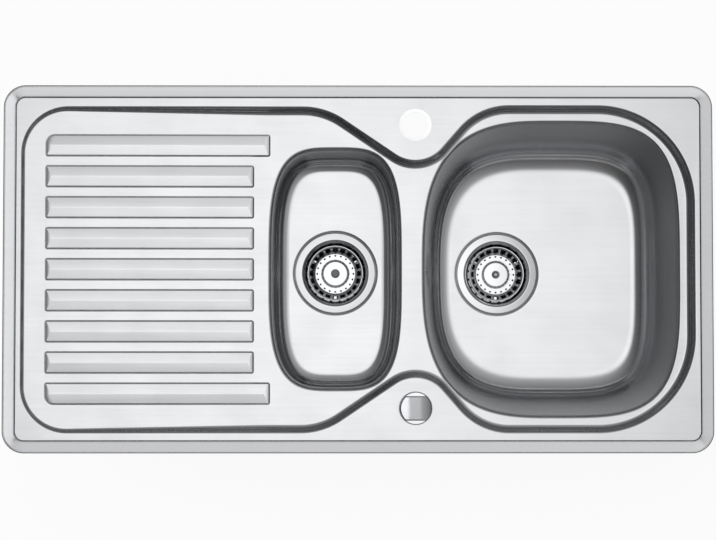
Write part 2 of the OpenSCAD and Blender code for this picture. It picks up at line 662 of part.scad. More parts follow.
module main_waste_body() {
    color("#4b4d50") at_main() difference() {
        union() {
            waste_body_shell(main_neck_end);
            body_hub(hub_end);
            // Port of the rocker, and the bracket that holds the cable's end
            translate([axle_x, -12, axle_z]) rotate([90, 0, 0]) cylinder(r = 8, h = port_y - 12);
            translate([bracket_x, -port_y, axle_z + 3]) cube([-bracket_x + axle_x, 4, 5]);
            translate([bracket_x, -wire_y - 5, axle_z + 3]) cube([4, wire_y + 5 - port_y + 4,
                slot_h + 2]);
            // Inlet of the overflow
            translate([-body_r + 1.2, 0, inlet_z]) rotate([0, -90, 0])
                cylinder(r = inlet_r, h = 24);
        }
        // Neck stays clear inside, round the hub
        translate([0, 0, main_neck_end - 1]) cylinder(r = outlet_bore / 2, h = hub_end
            - main_neck_end - 1);
        translate([0, 0, hub_end - 1]) cylinder(r = stem_r + run_gap, h = 20);
        translate([0, 0, screw_end]) cylinder(r = screw_r, h = 30);
        translate([axle_x, -10, axle_z]) rotate([90, 0, 0])
            cylinder(r = axle_r + run_gap, h = 30);
        translate([-body_r + 4, 0, inlet_z]) rotate([0, -90, 0])
            cylinder(r = inlet_r - 2, h = 30);
        translate([bracket_x - 1, -wire_y, wire_z]) rotate([0, 90, 0])
            cylinder(r = cable_d / 2, h = 8);
    }
}
module half_waste_body() {
    color("#4b4d50") at_half() difference() {
        union() {
            waste_body_shell(half_neck_end);
            body_hub(screw_end - 2);
        }
        translate([0, 0, screw_end - 4]) cylinder(r = stem_r + run_gap, h = 20);
        translate([0, 0, screw_end]) cylinder(r = screw_r, h = 30);
    }
}
module hollow_screw() {
    color("silver") difference() {
        union() {
            translate([0, 0, -cup_depth]) cylinder(r = 7, h = 2.4);
            translate([0, 0, screw_end]) cylinder(r = screw_r, h = -cup_depth - screw_end);
        }
        translate([0, 0, screw_end - 1]) cylinder(r = stem_r + run_gap, h = 40);
        for (a = [0, 90]) rotate(a) translate([-8, -0.7, -cup_depth + 1.2]) cube([16, 1.4, 2]);
    }
}
module basket() {
    r = basket_d / 2;
    t = 0.8;
    color("whitesmoke") difference() {
        rotate_extrude() polygon([[0, disc_z], [disc_r - 0.6, disc_z - 0.2],
            [disc_r + 0.4, disc_z - 1], [disc_r + 2.3, base_z], [base_r, base_z],
            [r - 1.2, basket_top - 1.8], [r - 0.7, basket_top], [r, basket_top - 0.2],
            [r, basket_top - 2.4], [r - 0.5, basket_top - 2.6], [base_r + 0.6, base_z - t],
            [disc_r + 1.8, base_z - t], [disc_r - 0.4, disc_z - t - 0.5], [11, disc_z - t],
            [0, disc_z - t]]);
        for (i = [0 : slot_n - 1]) rotate(i * 360 / slot_n)
            translate([(r + base_r) / 2 - 12, -3.3, base_z + 3]) cube([30, 6.6, basket_depth - 7.4]);
        for (i = [0 : hole_n - 1]) rotate((i + 0.5) * 360 / hole_n)
            translate([24.8, 0, base_z - 2]) cylinder(r = 1.45, h = 4, $fn = 24);
        translate([0, 0, disc_z - 2]) cylinder(r = 2.2, h = 4, $fn = 32);
    }
}
module basket_seal() {
    low = -cup_depth + soft_gap;
    under = disc_z - 0.8;
    color("#2b2b2d") rotate_extrude() polygon([[stem_r, under], [9.5, under],
        [10.5, low + 3.6], [27.6, low + 2.6], [28.6, low + 1.8], [28.6, low + 0.7], [27.2, low],
        [9.2, low], [8.6, low + 3], [stem_r, low + 4.6]]);
}
module basket_stem() {
    color("#d9dadc") difference() {
        translate([0, 0, stem_end]) union() {
            translate([0, 0, 1]) cylinder(r = stem_r, h = disc_z - 0.8 - stem_end - 1);
            cylinder(r1 = stem_r - 0.8, r2 = stem_r, h = 1);
        }
        translate([0, 0, disc_z - 6]) cylinder(r = 1.8, h = 8);
    }
}
module basket_button() {
    color("#8e9194") translate([0, 0, disc_z]) {
        rotate_extrude() polygon([[0, 0], [6.2, 0], [6.2, 1], [5, 1.8], [5, 5], [6.2, 6],
            [6.2, 7.4], [4.6, 8.4], [0, 8.8]]);
        translate([0, 0, -5.5]) cylinder(r = 1.8, h = 6);
    }
}
module basket_screw() {
    color("#c4c6c9") translate([0, 0, disc_z]) difference() {
        union() {
            rotate_extrude() polygon([[0, 0], [5.8, 0], [5.8, 0.7], [3.8, 0.9], [3.6, 2.4],
                [2.6, 3.2], [0, 3.4]]);
            translate([0, 0, -5.5]) cylinder(r = 1.8, h = 6);
        }
        for (a = [0, 90]) rotate(a) translate([-2, -0.45, 2.2]) cube([4, 0.9, 2]);
    }
}
module main_lift_pin() {
    color("#d9dadc") at_main() {
        translate([0, 0, pin_low]) cylinder(r = stem_r, h = stem_end - soft_gap - pin_low);
        translate([0, 0, pin_low]) cylinder(r = 3.2, h = 2);
    }
}
module lift_rocker() {
    // Drawn with the finger down: half of the swing below level
    color("#b9bcc0") at_main() translate([axle_x, 0, axle_z]) rotate([0, swing / 2, 0]) {
        translate([0, 4, 0]) rotate([90, 0, 0]) cylinder(r = axle_r, h = arm_y + arm_t + 4);
        translate([0, -3, -finger_t / 2]) cube([finger, 6, finger_t]);
        translate([finger, 3, 0]) rotate([90, 0, 0]) cylinder(r = tip_r, h = 6);
        difference() {
            union() {
                translate([-5, -arm_y - arm_t, 0]) cube([10, arm_t, 14]);
                translate([0, -arm_y, 0]) rotate([90, 0, 0]) cylinder(r = 6.5, h = arm_t);
                translate([0, -arm_y, 14]) rotate([90, 0, 0]) cylinder(r = 5, h = arm_t);
            }
            translate([-nipple_r - 0.25, -arm_y - arm_t - 1, 10.2]) cube([2 * nipple_r + 0.5,
                arm_t + 2, 6.6]);
        }
    }
}
module rocker_gland_nut() {
    color("#3c3e41") at_main() translate([axle_x, -port_y, axle_z]) rotate([90, 0, 0])
        difference() {
            cylinder(r = 9.6, h = gland_t, $fn = 6);
            translate([0, 0, -1]) cylinder(r = axle_r + run_gap, h = gland_t + 2);
        }
}
module pull_wire() {
    // Barrel in the rocker's slot, with the stretch of wire that slides in the ferrule
    x = axle_x + slot_h * tan(swing / 2);
    color("#9a9da1") at_main() {
        translate([x, -arm_y + 1, wire_z]) rotate([90, 0, 0])
            cylinder(r = nipple_r, h = wire_y - arm_y + 3);
        translate([bracket_x + wire_pull + 1.2, -wire_y, wire_z]) rotate([0, 90, 0])
            cylinder(r = wire_r, h = x - bracket_x - wire_pull - 1.2);
    }
}
module cable_ferrule() {
    color("#a7a9ac") at_main() translate([bracket_x, -wire_y, wire_z]) rotate([0, 90, 0])
        difference() {
            union() {
                cylinder(r = cable_d / 2, h = ferrule_l);
                translate([0, 0, 4]) cylinder(r = 4.4, h = 3, $fn = 6);
            }
            translate([0, 0, -1]) cylinder(r = wire_r + 0.4, h = ferrule_l + 2);
        }
}

// Overflow, in its own frame
gasket_w = 1.6;
elbow_r = 24;
elbow_deep = 24;
hose_w = -16;
elbow_z = -pan_deep - sheet_t - gasket_w;
spigot_out = 44;
module overflow_gasket() {
    color("#303032") at_overflow() ring(elbow_r - 1, 18.7, elbow_z, elbow_z + gasket_w);
}
module overflow_elbow() {
    color("#4b4d50") at_overflow() difference() {
        union() {
            translate([0, 0, elbow_z - elbow_deep]) cylinder(r = elbow_r, h = elbow_deep);
            translate([elbow_r - 4, 0, hose_w]) rotate([0, 90, 0])
                cylinder(r = inlet_r, h = spigot_out - elbow_r + 4);
            translate([elbow_r - 4, 0, hose_w]) rotate([0, 90, 0])
                cylinder(r = elbow_z - hose_w - 0.1, h = 6);
        }
        difference() {
            translate([0, 0, elbow_z - elbow_deep + 2.2]) cylinder(r = elbow_r - 2.2, h = 40);
            translate([0, 0, elbow_z - elbow_deep]) cylinder(r = 5, h = elbow_deep);
        }
        translate([0, 0, elbow_z - 16]) cylinder(r = 2.45, h = 20);
        translate([elbow_r - 8, 0, hose_w]) rotate([0, 90, 0])
            cylinder(r = inlet_r - 2, h = 40);
    }
}
module overflow_screw() {
    color("#c4c6c9") at_overflow() difference() {
        union() {
            translate([0, 0, elbow_z - 14]) cylinder(r = 2.45, h = -pan_deep - elbow_z + 14.5);
            translate([0, 0, -pan_deep]) rotate_extrude()
                polygon([[0, 0], [4.6, 0], [4.4, 1], [3, 2], [0, 2.3]]);
        }
        for (a = [0, 90]) rotate(a) translate([-2.4, -0.5, -pan_deep + 1.3]) cube([4.8, 1, 2]);
    }
}
// The hose runs down beside the bowl and under it to the waste. Its own points, [x, z]
hose_start = 26;
elbow_at = [main_x - main_l / 2 + pan_in + hose_w * cos(main_draft), wet_z - overflow_z
    + hose_w * sin(main_draft)];
hose_a = elbow_at + hose_start * [sin(main_draft), -cos(main_draft)];
hose_end_x = main_waste_x - body_r - 5;
hose_end_z = seat_z(MAIN) + inlet_z;
hose_b = elbow_at + 52 * [sin(main_draft), -cos(main_draft)];
hose_turn = 34;
hose_low = [hose_b[0] + 4, hose_end_z + hose_turn];
function hose_path() = concat(
    [for (i = [0 : 5]) hose_a + (hose_b - hose_a) * i / 6],
    [for (i = [0 : 11]) let (s = i / 12, k = s * s * (3 - 2 * s))
        [hose_b[0] + 4 * k, hose_b[1] + (hose_low[1] - hose_b[1]) * s]],
    [for (i = [0 : 12]) let (a = i * 90 / 12)
        [hose_low[0] + hose_turn * (1 - cos(a)), hose_low[1] - hose_turn * sin(a)]],
    [for (i = [1 : 6]) [hose_low[0] + hose_turn
        + (hose_end_x - hose_low[0] - hose_turn) * i / 6, hose_end_z]]);
// Ring of points round a path's point in the XZ plane
function path_ring(p, i, r, n) = let (
        d = unit(p[min(i + 1, len(p) - 1)] - p[max(i - 1, 0)]), s = [d[1], -d[0]])
    [for (k = [0 : n - 1]) let (a = (k + 0.5) * 360 / n)
        [p[i][0] + r * cos(a) * s[0], r * sin(a), p[i][1] + r * cos(a) * s[1]]];
// Points between the path's own, so that ribs can be closer than its points
function finer(p, m) = concat([for (i = [0 : len(p) - 2], k = [0 : m - 1])
    p[i] + (p[i + 1] - p[i]) * k / m], [p[len(p) - 1]]);
module overflow_hose() {
    p = finer(hose_path(), 3);
    n = len(p) - 1;
    r = hose_d / 2;
    color("#d8d9da") hose_skin(
        [for (i = [0 : n]) path_ring(p, i, i < 9 || i > n - 9 || i % 2 == 0 ? r : r - 1.1, 8)],
        [for (i = [0 : 3 : n]) path_ring(p, i, r - hose_wall, 8)]);
}
module hose_clip() {
    ring(hose_d / 2 + 1.2, hose_d / 2 + 0.2, -3, 3);
    translate([hose_d / 2 + 0.6, -4, -3.6]) cube([5, 8, 7.2]);
}
module hose_clips() {
    color("#b9bcc0") {
        translate([hose_a[0] + 7 * sin(main_draft), 0, hose_a[1] - 7 * cos(main_draft)])
            rotate([0, -main_draft, 0]) rotate(180) hose_clip();
        translate([hose_end_x - 8, 0, hose_end_z]) rotate([0, 90, 0]) rotate(0) hose_clip();
    }
}

// Control, in a frame at the middle of its hole
module at_control() translate([hole_x, control_y, 0]) children();
shank_r = deck_bore / 2 - 0.7;
base_z0 = ledge_z + 0.8;
base_t = 2.8;
shank_end = -24;
spindle_r = 5;
knob_z = base_z0 + base_t + 0.4;
box_x = 44;
box_y = 54;
box_wall = 2.5;
box_z0 = shank_end - 22;
box_z1 = shank_end;
slide_y = crank * sin(45);
slide_travel = 2 * slide_y;
slider_l = 15;
slider_z0 = box_z0 + 4;
slider_t = 7;
wire_zc = slider_z0 + slider_t / 2;
outlet_y = box_y / 2 + 13;
module control_base_seal() {
    color("#303032") at_control() ring(knob_d / 2 - 1, deck_bore / 2 + 0.3, ledge_z, base_z0);
}
module control_base() {
    color("#dfe1e3") at_control() difference() {
        union() {
            translate([0, 0, shank_end]) cylinder(r = shank_r, h = base_z0 - shank_end + 1);
            rotate_extrude() polygon([[0, base_z0], [knob_d / 2, base_z0],
                [knob_d / 2, base_z0 + base_t - 1], [knob_d / 2 - 1, base_z0 + base_t],
                [0, base_z0 + base_t]]);
        }
        translate([0, 0, shank_end - 1]) cylinder(r = spindle_r + run_gap, h = 60);
    }
}
module control_washer() {
    color("#8a6f52") at_control() ring(deck_bore / 2 + 5.5, shank_r + 0.15,
        ledge_z - sheet_t - 1.2, ledge_z - sheet_t);
}
module control_lock_nut() {
    top = ledge_z - sheet_t - 1.2;
    color("#c9ccd0") at_control() difference() {
        translate([0, 0, top - 8]) cylinder(r = deck_bore / 2 + 5.6, h = 8, $fn = 6);
        translate([0, 0, top - 10]) cylinder(r = shank_r + 0.1, h = 12);
    }
}
module control_spindle() {
    color("#b9bcc0") at_control() {
        translate([0, 0, shank_end - 8]) cylinder(r = spindle_r, h = knob_z + 14 - shank_end + 8);
        translate([0, 0, shank_end - 10]) cylinder(r = 11, h = 3.6);
        rotate(135) translate([crank, 0, slider_z0 + 0.5])
            cylinder(r = 2, h = shank_end - 9 - slider_z0);
    }
}
module control_knob() {
    color("#eceef0") at_control() difference() {
        union() {
            translate([0, 0, knob_z]) rotate_extrude() polygon([[0, 0], [knob_d / 2 - 0.6, 0],
                [knob_d / 2, 0.6], [knob_d / 2, 7], [knob_d / 2 - 2.4, 9], [0, 9]]);
            intersection() {
                translate([0, 0, knob_z]) cylinder(r = knob_d / 2 - 0.5, h = knob_h);
                translate([-knob_d / 2, -grip_w / 2, knob_z + 1]) cube([knob_d, grip_w, knob_h]);
                translate([0, 40, knob_z + knob_h - 56]) rotate([90, 0, 0])
                    cylinder(r = 56, h = 80, $fn = 96);
            }
        }
        translate([0, 0, knob_z - 1]) cylinder(r = spindle_r, h = 15);
        translate([0, -2, knob_z + 5]) rotate([-90, 0, 0]) rotate([0, 0, 0])
            cylinder(r = 1.75, h = 40);
    }
}
module knob_grub_screw() {
    color("#6f7276") at_control() translate([0, spindle_r, knob_z + 5]) rotate([-90, 0, 0])
        difference() {
            cylinder(r = 1.75, h = 10);
            translate([0, 0, 8]) cylinder(r = 0.9, h = 3, $fn = 6);
        }
}
module control_housing() {
    color("#5a5d61") at_control() difference() {
        union() {
            translate([0, 0, box_z0]) linear_extrude(box_z1 - box_z0) rounded_plan(box_x, box_y, 5);
            translate([0, 0, box_z1 - 1]) cylinder(r = shank_r + 3, h = 9);
            translate([0, box_y / 2 - 1, wire_zc]) rotate([-90, 0, 0])
                cylinder(r = 5, h = outlet_y - box_y / 2 + 1);
        }
        translate([0, 0, box_z0 - 1]) linear_extrude(box_z1 - box_z0 - box_wall + 1)
            rounded_plan(box_x - 2 * box_wall, box_y - 2 * box_wall, 2.5);
        translate([0, 0, box_z1]) cylinder(r = shank_r + 0.1, h = 20);
        translate([0, 0, box_z1 - 6]) cylinder(r = spindle_r + 1, h = 10);
        translate([0, 10, wire_zc]) rotate([-90, 0, 0]) cylinder(r = wire_r + 0.4, h = 40);
    }
    color("#5a5d61") at_control() at_posts() difference() {
        cylinder(r = 3.6, h = box_z1 - box_z0 - 1);
        translate([0, 0, -1]) cylinder(r = post_bore, h = 13);
    }
}
post_bore = 1.6;
module at_posts() {
    for (x = [-1, 1], y = [-1, 1]) translate([x * (box_x / 2 - 5.7), y * (box_y / 2 - 5.7), box_z0])
        children();
}
module housing_cover() {
    color("#5a5d61") at_control() difference() {
        translate([0, 0, box_z0 - 2.5]) linear_extrude(2.5) rounded_plan(box_x, box_y, 5);
        at_posts() translate([0, 0, -4]) cylinder(r = post_bore + 0.2, h = 6);
    }
}
module cover_screws() {
    color("#9a9da1") at_control() at_posts() difference() {
        union() {
            translate([0, 0, -2.5]) cylinder(r = post_bore, h = 13);
            translate([0, 0, -4.1]) cylinder(r = 3, h = 1.6);
        }
        for (a = [0, 90]) rotate(a) translate([-1.6, -0.4, -4.6]) cube([3.2, 0.8, 1.2]);
    }
}
module control_slider() {
    wide = box_x - 2 * box_wall - 2 * soft_gap;
    color("#e6e6e2") at_control() difference() {
        union() {
            translate([-wide / 2 + 4, slide_y - slider_l / 2, slider_z0]) cube([wide - 8, slider_l,
                slider_t]);
            translate([0, slide_y + slider_l / 2 - 1, wire_zc]) rotate([-90, 0, 0])
                cylinder(r = wire_r, h = outlet_y - 0.6 - slide_y - slider_l / 2 + 1);
        }
        translate([-crank - 3.6, slide_y - 2.35, slider_z0 - 1]) cube([8.4, 4.7, slider_t + 2]);
    }
}

// The cable's route from the control to the waste, points chosen along its real way
cable_from = [hole_x, control_y + outlet_y, wire_zc];
cable_to = [main_waste_x + bracket_x, -wire_y, seat_z(MAIN) + wire_z];
// Point at a place in plan and at a share of the way down from the control to the waste
function on_way(x, y, s) = [x, y, wire_zc + (cable_to[2] - wire_zc) * s];
cable_x = hole_x - 0.4;
cable_route = [cable_from, cable_from + [0, 12, 0], on_way(cable_x, -114, 0.037),
    on_way(cable_x, -98, 0.1), on_way(cable_x, -88, 0.213), on_way(cable_x, -82, 0.361),
    on_way(cable_x, -78, 0.52), on_way(79, -73, 0.668), on_way(85, -66, 0.804),
    on_way(97, -58, 0.9125), on_way(114, -51, 0.975), cable_to + [-22, 0, 0], cable_to];
function smooth(p, i, s) = let (
        n = len(p), a = p[max(i - 1, 0)], b = p[i], c = p[min(i + 1, n - 1)], d = p[min(i + 2, n - 1)])
    0.5 * (2 * b + (c - a) * s + (2 * a - 5 * b + 4 * c - d) * s * s
        + (3 * b - a - 3 * c + d) * s * s * s);
cable_pts = concat([for (i = [0 : len(cable_route) - 2], k = [0 : 3]) smooth(cable_route, i, k / 4)],
    [cable_to]);
cable_n = len(cable_pts);
// Direction at a point; the ends leave square to what they meet
function cable_dir(i) = i == 0 ? [0, 1, 0] : i == cable_n - 1 ? [1, 0, 0]
    : unit(cable_pts[i + 1] - cable_pts[i - 1]);
// Side vector carried along the route without twist
function cable_sides(i, s) = i >= cable_n ? []
    : let (d = cable_dir(i), v = unit(s - (s * d) * d)) concat([v], cable_sides(i + 1, v));
module pull_cable() {
    sides = cable_sides(0, [1, 0, 0]);
    color("#1f2022") tube_skin([for (i = [0 : cable_n - 1]) let (
            u = sides[i], v = cross(cable_dir(i), u))
        [for (k = [0 : 7]) cable_pts[i] + cable_d / 2 * (cos(k * 45) * u + sin(k * 45) * v)]]);
}

deck();
main_bowl();
half_bowl();
main_sound_pad();
half_sound_pads();
rim_gasket();
clip_rails();
clip_brackets();
clip_screws();
clip_pads();
at_main() strainer_cup();  // main_strainer_cup
at_main() flange_gasket();  // main_flange_gasket
at_main() body_seal();  // main_body_seal
main_waste_body();
at_main() hollow_screw();  // main_hollow_screw
at_main() basket();  // main_basket
at_main() basket_seal();  // main_basket_seal
at_main() basket_stem();  // main_basket_stem
at_main() basket_screw();  // main_basket_screw
main_lift_pin();
lift_rocker();
rocker_gland_nut();
at_half() strainer_cup();  // half_strainer_cup
at_half() flange_gasket();  // half_flange_gasket
at_half() body_seal();  // half_body_seal
half_waste_body();
at_half() hollow_screw();  // half_hollow_screw
at_half() basket();  // half_basket
at_half() basket_seal();  // half_basket_seal
at_half() basket_stem();  // half_basket_stem
at_half() basket_button();  // half_basket_button
overflow_gasket();
overflow_elbow();
overflow_screw();
overflow_hose();
hose_clips();
control_knob();
knob_grub_screw();
control_base();
control_base_seal();
control_washer();
control_lock_nut();
control_spindle();
control_housing();
housing_cover();
cover_screws();
control_slider();
pull_cable();
cable_ferrule();
pull_wire();
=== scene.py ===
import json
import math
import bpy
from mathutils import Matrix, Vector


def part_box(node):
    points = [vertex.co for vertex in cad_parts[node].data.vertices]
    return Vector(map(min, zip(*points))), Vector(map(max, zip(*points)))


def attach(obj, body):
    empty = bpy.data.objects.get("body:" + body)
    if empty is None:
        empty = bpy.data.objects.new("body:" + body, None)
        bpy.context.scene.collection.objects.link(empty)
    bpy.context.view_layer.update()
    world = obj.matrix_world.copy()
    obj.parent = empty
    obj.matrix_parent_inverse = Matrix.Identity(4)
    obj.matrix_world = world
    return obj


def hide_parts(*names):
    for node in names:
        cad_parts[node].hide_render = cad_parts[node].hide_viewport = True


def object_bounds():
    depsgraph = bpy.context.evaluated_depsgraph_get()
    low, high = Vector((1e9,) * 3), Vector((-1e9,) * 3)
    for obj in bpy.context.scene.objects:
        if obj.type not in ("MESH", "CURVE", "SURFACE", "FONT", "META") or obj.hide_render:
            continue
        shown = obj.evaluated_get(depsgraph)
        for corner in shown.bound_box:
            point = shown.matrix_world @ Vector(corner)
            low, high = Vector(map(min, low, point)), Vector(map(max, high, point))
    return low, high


bl_info = {
    "name": "Inset Kitchen Sink",
    "version": (1, 0, 0),
    "blender": (4, 5, 0),
    "location": "3D View > Sidebar > Sink",
    "description": "Stainless steel sink with drainer, two bowls, strainers "
                   "and a rotary waste control",
    "category": "Add Mesh",
}

import bmesh
import bpy
from bpy.props import FloatProperty, FloatVectorProperty, IntProperty, PointerProperty
from mathutils import Matrix, Vector
from mathutils.geometry import delaunay_2d_cdt

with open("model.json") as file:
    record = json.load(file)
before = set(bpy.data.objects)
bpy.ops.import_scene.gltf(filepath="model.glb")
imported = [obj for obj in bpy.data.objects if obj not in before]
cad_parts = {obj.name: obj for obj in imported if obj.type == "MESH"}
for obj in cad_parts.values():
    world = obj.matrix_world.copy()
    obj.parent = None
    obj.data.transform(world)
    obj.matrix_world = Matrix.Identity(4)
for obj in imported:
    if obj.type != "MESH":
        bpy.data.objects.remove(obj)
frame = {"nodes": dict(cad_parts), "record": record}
CAD_BOX = [list(corner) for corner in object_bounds()]
DECK_LOW, DECK_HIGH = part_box("deck")
NODE_BODY = {
    node: body
    for body, nodes in frame["record"]["behaviour"]["bodies"].items()
    for node in nodes
}


def linear(code):
    """A hex sRGB colour as linear values."""
    parts = [int(code[i : i + 2], 16) / 255 for i in (1, 3, 5)]
    return tuple(p / 12.92 if p <= 0.04045 else ((p + 0.055) / 1.055) ** 2.4 for p in parts)


def length(name, description, default):
    """A size property in metres, from its usual value in millimetres."""
    return FloatProperty(
        name=name, description=description, default=default / 1000, unit="LENGTH", min=0.0
    )


def colour(name, description, code):
    """A colour property from a hex sRGB value."""
    return FloatVectorProperty(
        name=name, description=description, default=linear(code), subtype="COLOR", size=3,
        min=0.0, max=1.0,
    )


EDGE = 0.35  # usual width of a broken edge


class SinkSizes(bpy.types.PropertyGroup):
    """Sizes of the sink's pressings and moulded pieces"""

    deck_length: length("Deck length", "Length of the deck over its rim",
                        round((DECK_HIGH.x - DECK_LOW.x) * 1000, 2))
    deck_width: length("Deck depth", "Depth of the deck from front to back",
                       round((DECK_HIGH.y - DECK_LOW.y) * 1000, 2))
    deck_corner: length("Deck corner", "Radius of the deck's outer corners", 30)
    sheet: length("Sheet", "Thickness of the steel sheet", 1)
    rim_height: length("Rim height", "Height of the rim's crest above the worktop", 5.4)
    ledge_height: length("Ledge height", "Height of the flat ledge inside the rim", 3.8)
    drainer_fall: length("Drainer fall", "Depth of the wet area at the drainer's end", 4.6)
    bowl_fall: length("Bowl fall", "Depth of the wet area around the bowls", 10)
    tap_bore: length("Tap bore", "Bore of the tap hole", 35)
    rib_pitch: length("Rib pitch", "Distance between the drainer's ribs", 42.2)
    rim_width: length("Rim width", "Width of the raised rim band", 17.6)
    drainer_margin: length("Drainer margin", "Distance from the left end to the wet area", 24.3)
    rib_width: length("Rib width", "Width of a rib at its foot", 30.8)
    rib_height: length("Rib height", "Height of a rib at its shoulders", 2)
    rib_roof: length("Rib roof", "Rise of a rib's roof above its shoulders", 0.8)
    main_depth: length("Main bowl depth", "Depth of the main bowl", 155)
    half_depth: length("Half bowl depth", "Depth of the half bowl", 126)
    lip_radius: length("Lip radius", "Radius of the bowls' upper edge", 5)
    overflow_depth: length("Overflow depth", "Depth of the overflow below the mouth", 46)
    basket_diameter: length("Basket diameter", "Diameter of a basket's rim", 78.4)
    knob_diameter: length("Knob diameter", "Diameter of the control knob", 45)
    knob_height: length("Knob height", "Height of the knob above its base", 25)
    grip_width: length("Grip width", "Width of the knob's grip", 33)
    hose_diameter: length("Hose diameter", "Diameter of the overflow hose", 25)
    hose_pitch: length("Hose pitch", "Distance between the hose's ribs", 3.6)
    cable_diameter: length("Cable diameter", "Diameter of the pull cable's sheath", 5)
    edge: length("Edge", "Width of the broken edges of small pieces", EDGE)
    slots: IntProperty(name="Slots", description="Slots and holes round a basket", default=20,
                       min=8, max=40)


class SinkColours(bpy.types.PropertyGroup):
    """Colours of the sink's finishes"""

    steel: colour("Steel", "Brushed stainless sheet", "#dedfe1")
    polished: colour("Polished steel", "Polished stainless of the strainers", "#e2e3e5")
    plating: colour("Plating", "Bright plating of the control knob", "#dfe1e4")
    zinc: colour("Zinc", "Zinc plating of rails, clips and nuts", "#b3b8bd")
    screw: colour("Screw steel", "Plain bright steel of screws and spindles", "#c3c5c8")
    dark: colour("Dark plastic", "Moulded waste bodies and elbow", "#232426")
    grey: colour("Grey plastic", "Moulded control housing", "#55585c")
    pale: colour("Pale plastic", "Moulded slider", "#dcdcd6")
    hose: colour("Hose plastic", "Ribbed overflow hose", "#cfd1d2")
    button: colour("Button plastic", "Button on the half bowl's basket", "#74777b")
    rubber: colour("Rubber", "Seals, gaskets and the cable's sheath", "#1c1c1e")
    foam: colour("Foam", "Foam strip under the rim", "#2b2b2d")
    pad: colour("Damping pad", "Sound-deadening pads under the bowls", "#303133")
    fibre: colour("Fibre", "Fibre washer of the control", "#8a6a47")


def sizes():
    """The sizes in millimetres, by name."""
    group = bpy.context.scene.sink_sizes
    return {
        key: getattr(group, key) * (1 if key == "slots" else 1000)
        for key in SinkSizes.__annotations__
    }


# Outlines in plan, in millimetres


def signed_power(value, power):
    return math.copysign(abs(value) ** power, value)


def arc(x, y, radius, start, turn, steps):
    """Points on an arc, both ends among them."""
    return [Vector((x + radius * math.cos(start + turn * i / steps),
                    y + radius * math.sin(start + turn * i / steps))) for i in range(steps + 1)]


def corner_arc(a, b, c, radius, steps):
    """Arc that rounds the corner b between a and c."""
    u, v = (a - b).normalized(), (c - b).normalized()
    half = u.angle(v) / 2
    middle = b + (u + v).normalized() * radius / math.sin(half)
    p, q = b + u * radius / math.tan(half) - middle, b + v * radius / math.tan(half) - middle
    start, end = math.atan2(p.y, p.x), math.atan2(q.y, q.x)
    turn = (end - start + math.pi) % math.tau - math.pi
    return arc(*middle, radius, start, turn, steps)


def rounded(corners):
    """Outline from corners, each x, y, radius and steps; one with no radius stays a point."""
    points = []
    for i, (x, y, radius, steps) in enumerate(corners):
        a, c = corners[i - 1], corners[(i + 1) % len(corners)]
        points += [Vector((x, y))] if radius == 0 else corner_arc(
            Vector(a[:2]), Vector((x, y)), Vector(c[:2]), radius, steps)
    return points


def inset(points, distances):
    """Outline moved inwards by its own distance at each point."""
    moved = []
    for i, p in enumerate(points):
        before = (p - points[i - 1]).normalized()
        after = (points[(i + 1) % len(points)] - p).normalized()
        n1, n2 = Vector((-before.y, before.x)), Vector((-after.y, after.x))
        moved.append(p + (n1 + n2) / (1 + n1.dot(n2)) * distances[i])
    return moved


def meet(n1, d1, n2, d2):
    """Meeting point of two lines, each a unit normal and a distance."""
    k = n1.x * n2.y - n1.y * n2.x
    return Vector(((d1 * n2.y - d2 * n1.y) / k, (n1.x * d2 - n2.x * d1) / k))


def circle(x, y, radius, steps, start=0.0):
    return arc(x, y, radius, start, math.tau, steps)[:-1]


def softened(profile, cut, steps=3):
    """Profile whose inner corners are rounded off, by at most cut."""
    points = [Vector(p) for p in profile]
    out = [points[0]]
    for a, b, c in zip(points, points[1:], points[2:]):
        reach = min(cut, 0.45 * (a - b).length, 0.45 * (c - b).length)
        p, q = b + (a - b).normalized() * reach, b + (c - b).normalized() * reach
        for i in range(steps + 1):
            t = i / steps
            out.append(p * (1 - t) ** 2 + b * 2 * t * (1 - t) + q * t**2)
    return out + [points[-1]]


def inside(point, loop):
    hit = False
    for i, b in enumerate(loop):
        a = loop[i - 1]
        if (a[1] > point[1]) != (b[1] > point[1]) and point[0] < (
                b[0] - a[0]) * (point[1] - a[1]) / (b[1] - a[1]) + a[0]:
            hit = not hit
    return hit


SHARP = math.radians(50)


def shade(work, upward):
    """Turns faces outwards, or up, and smooths them except at open and steep edges."""
    bmesh.ops.recalc_face_normals(work, faces=work.faces)
    if upward and sum(f.normal.z * f.calc_area() for f in work.faces) < 0:
        bmesh.ops.reverse_faces(work, faces=work.faces)
    for face in work.faces:
        face.smooth = True
    for edge in work.edges:
        if len(edge.link_faces) != 2 or edge.calc_face_angle(0) > SHARP:
            edge.smooth = False


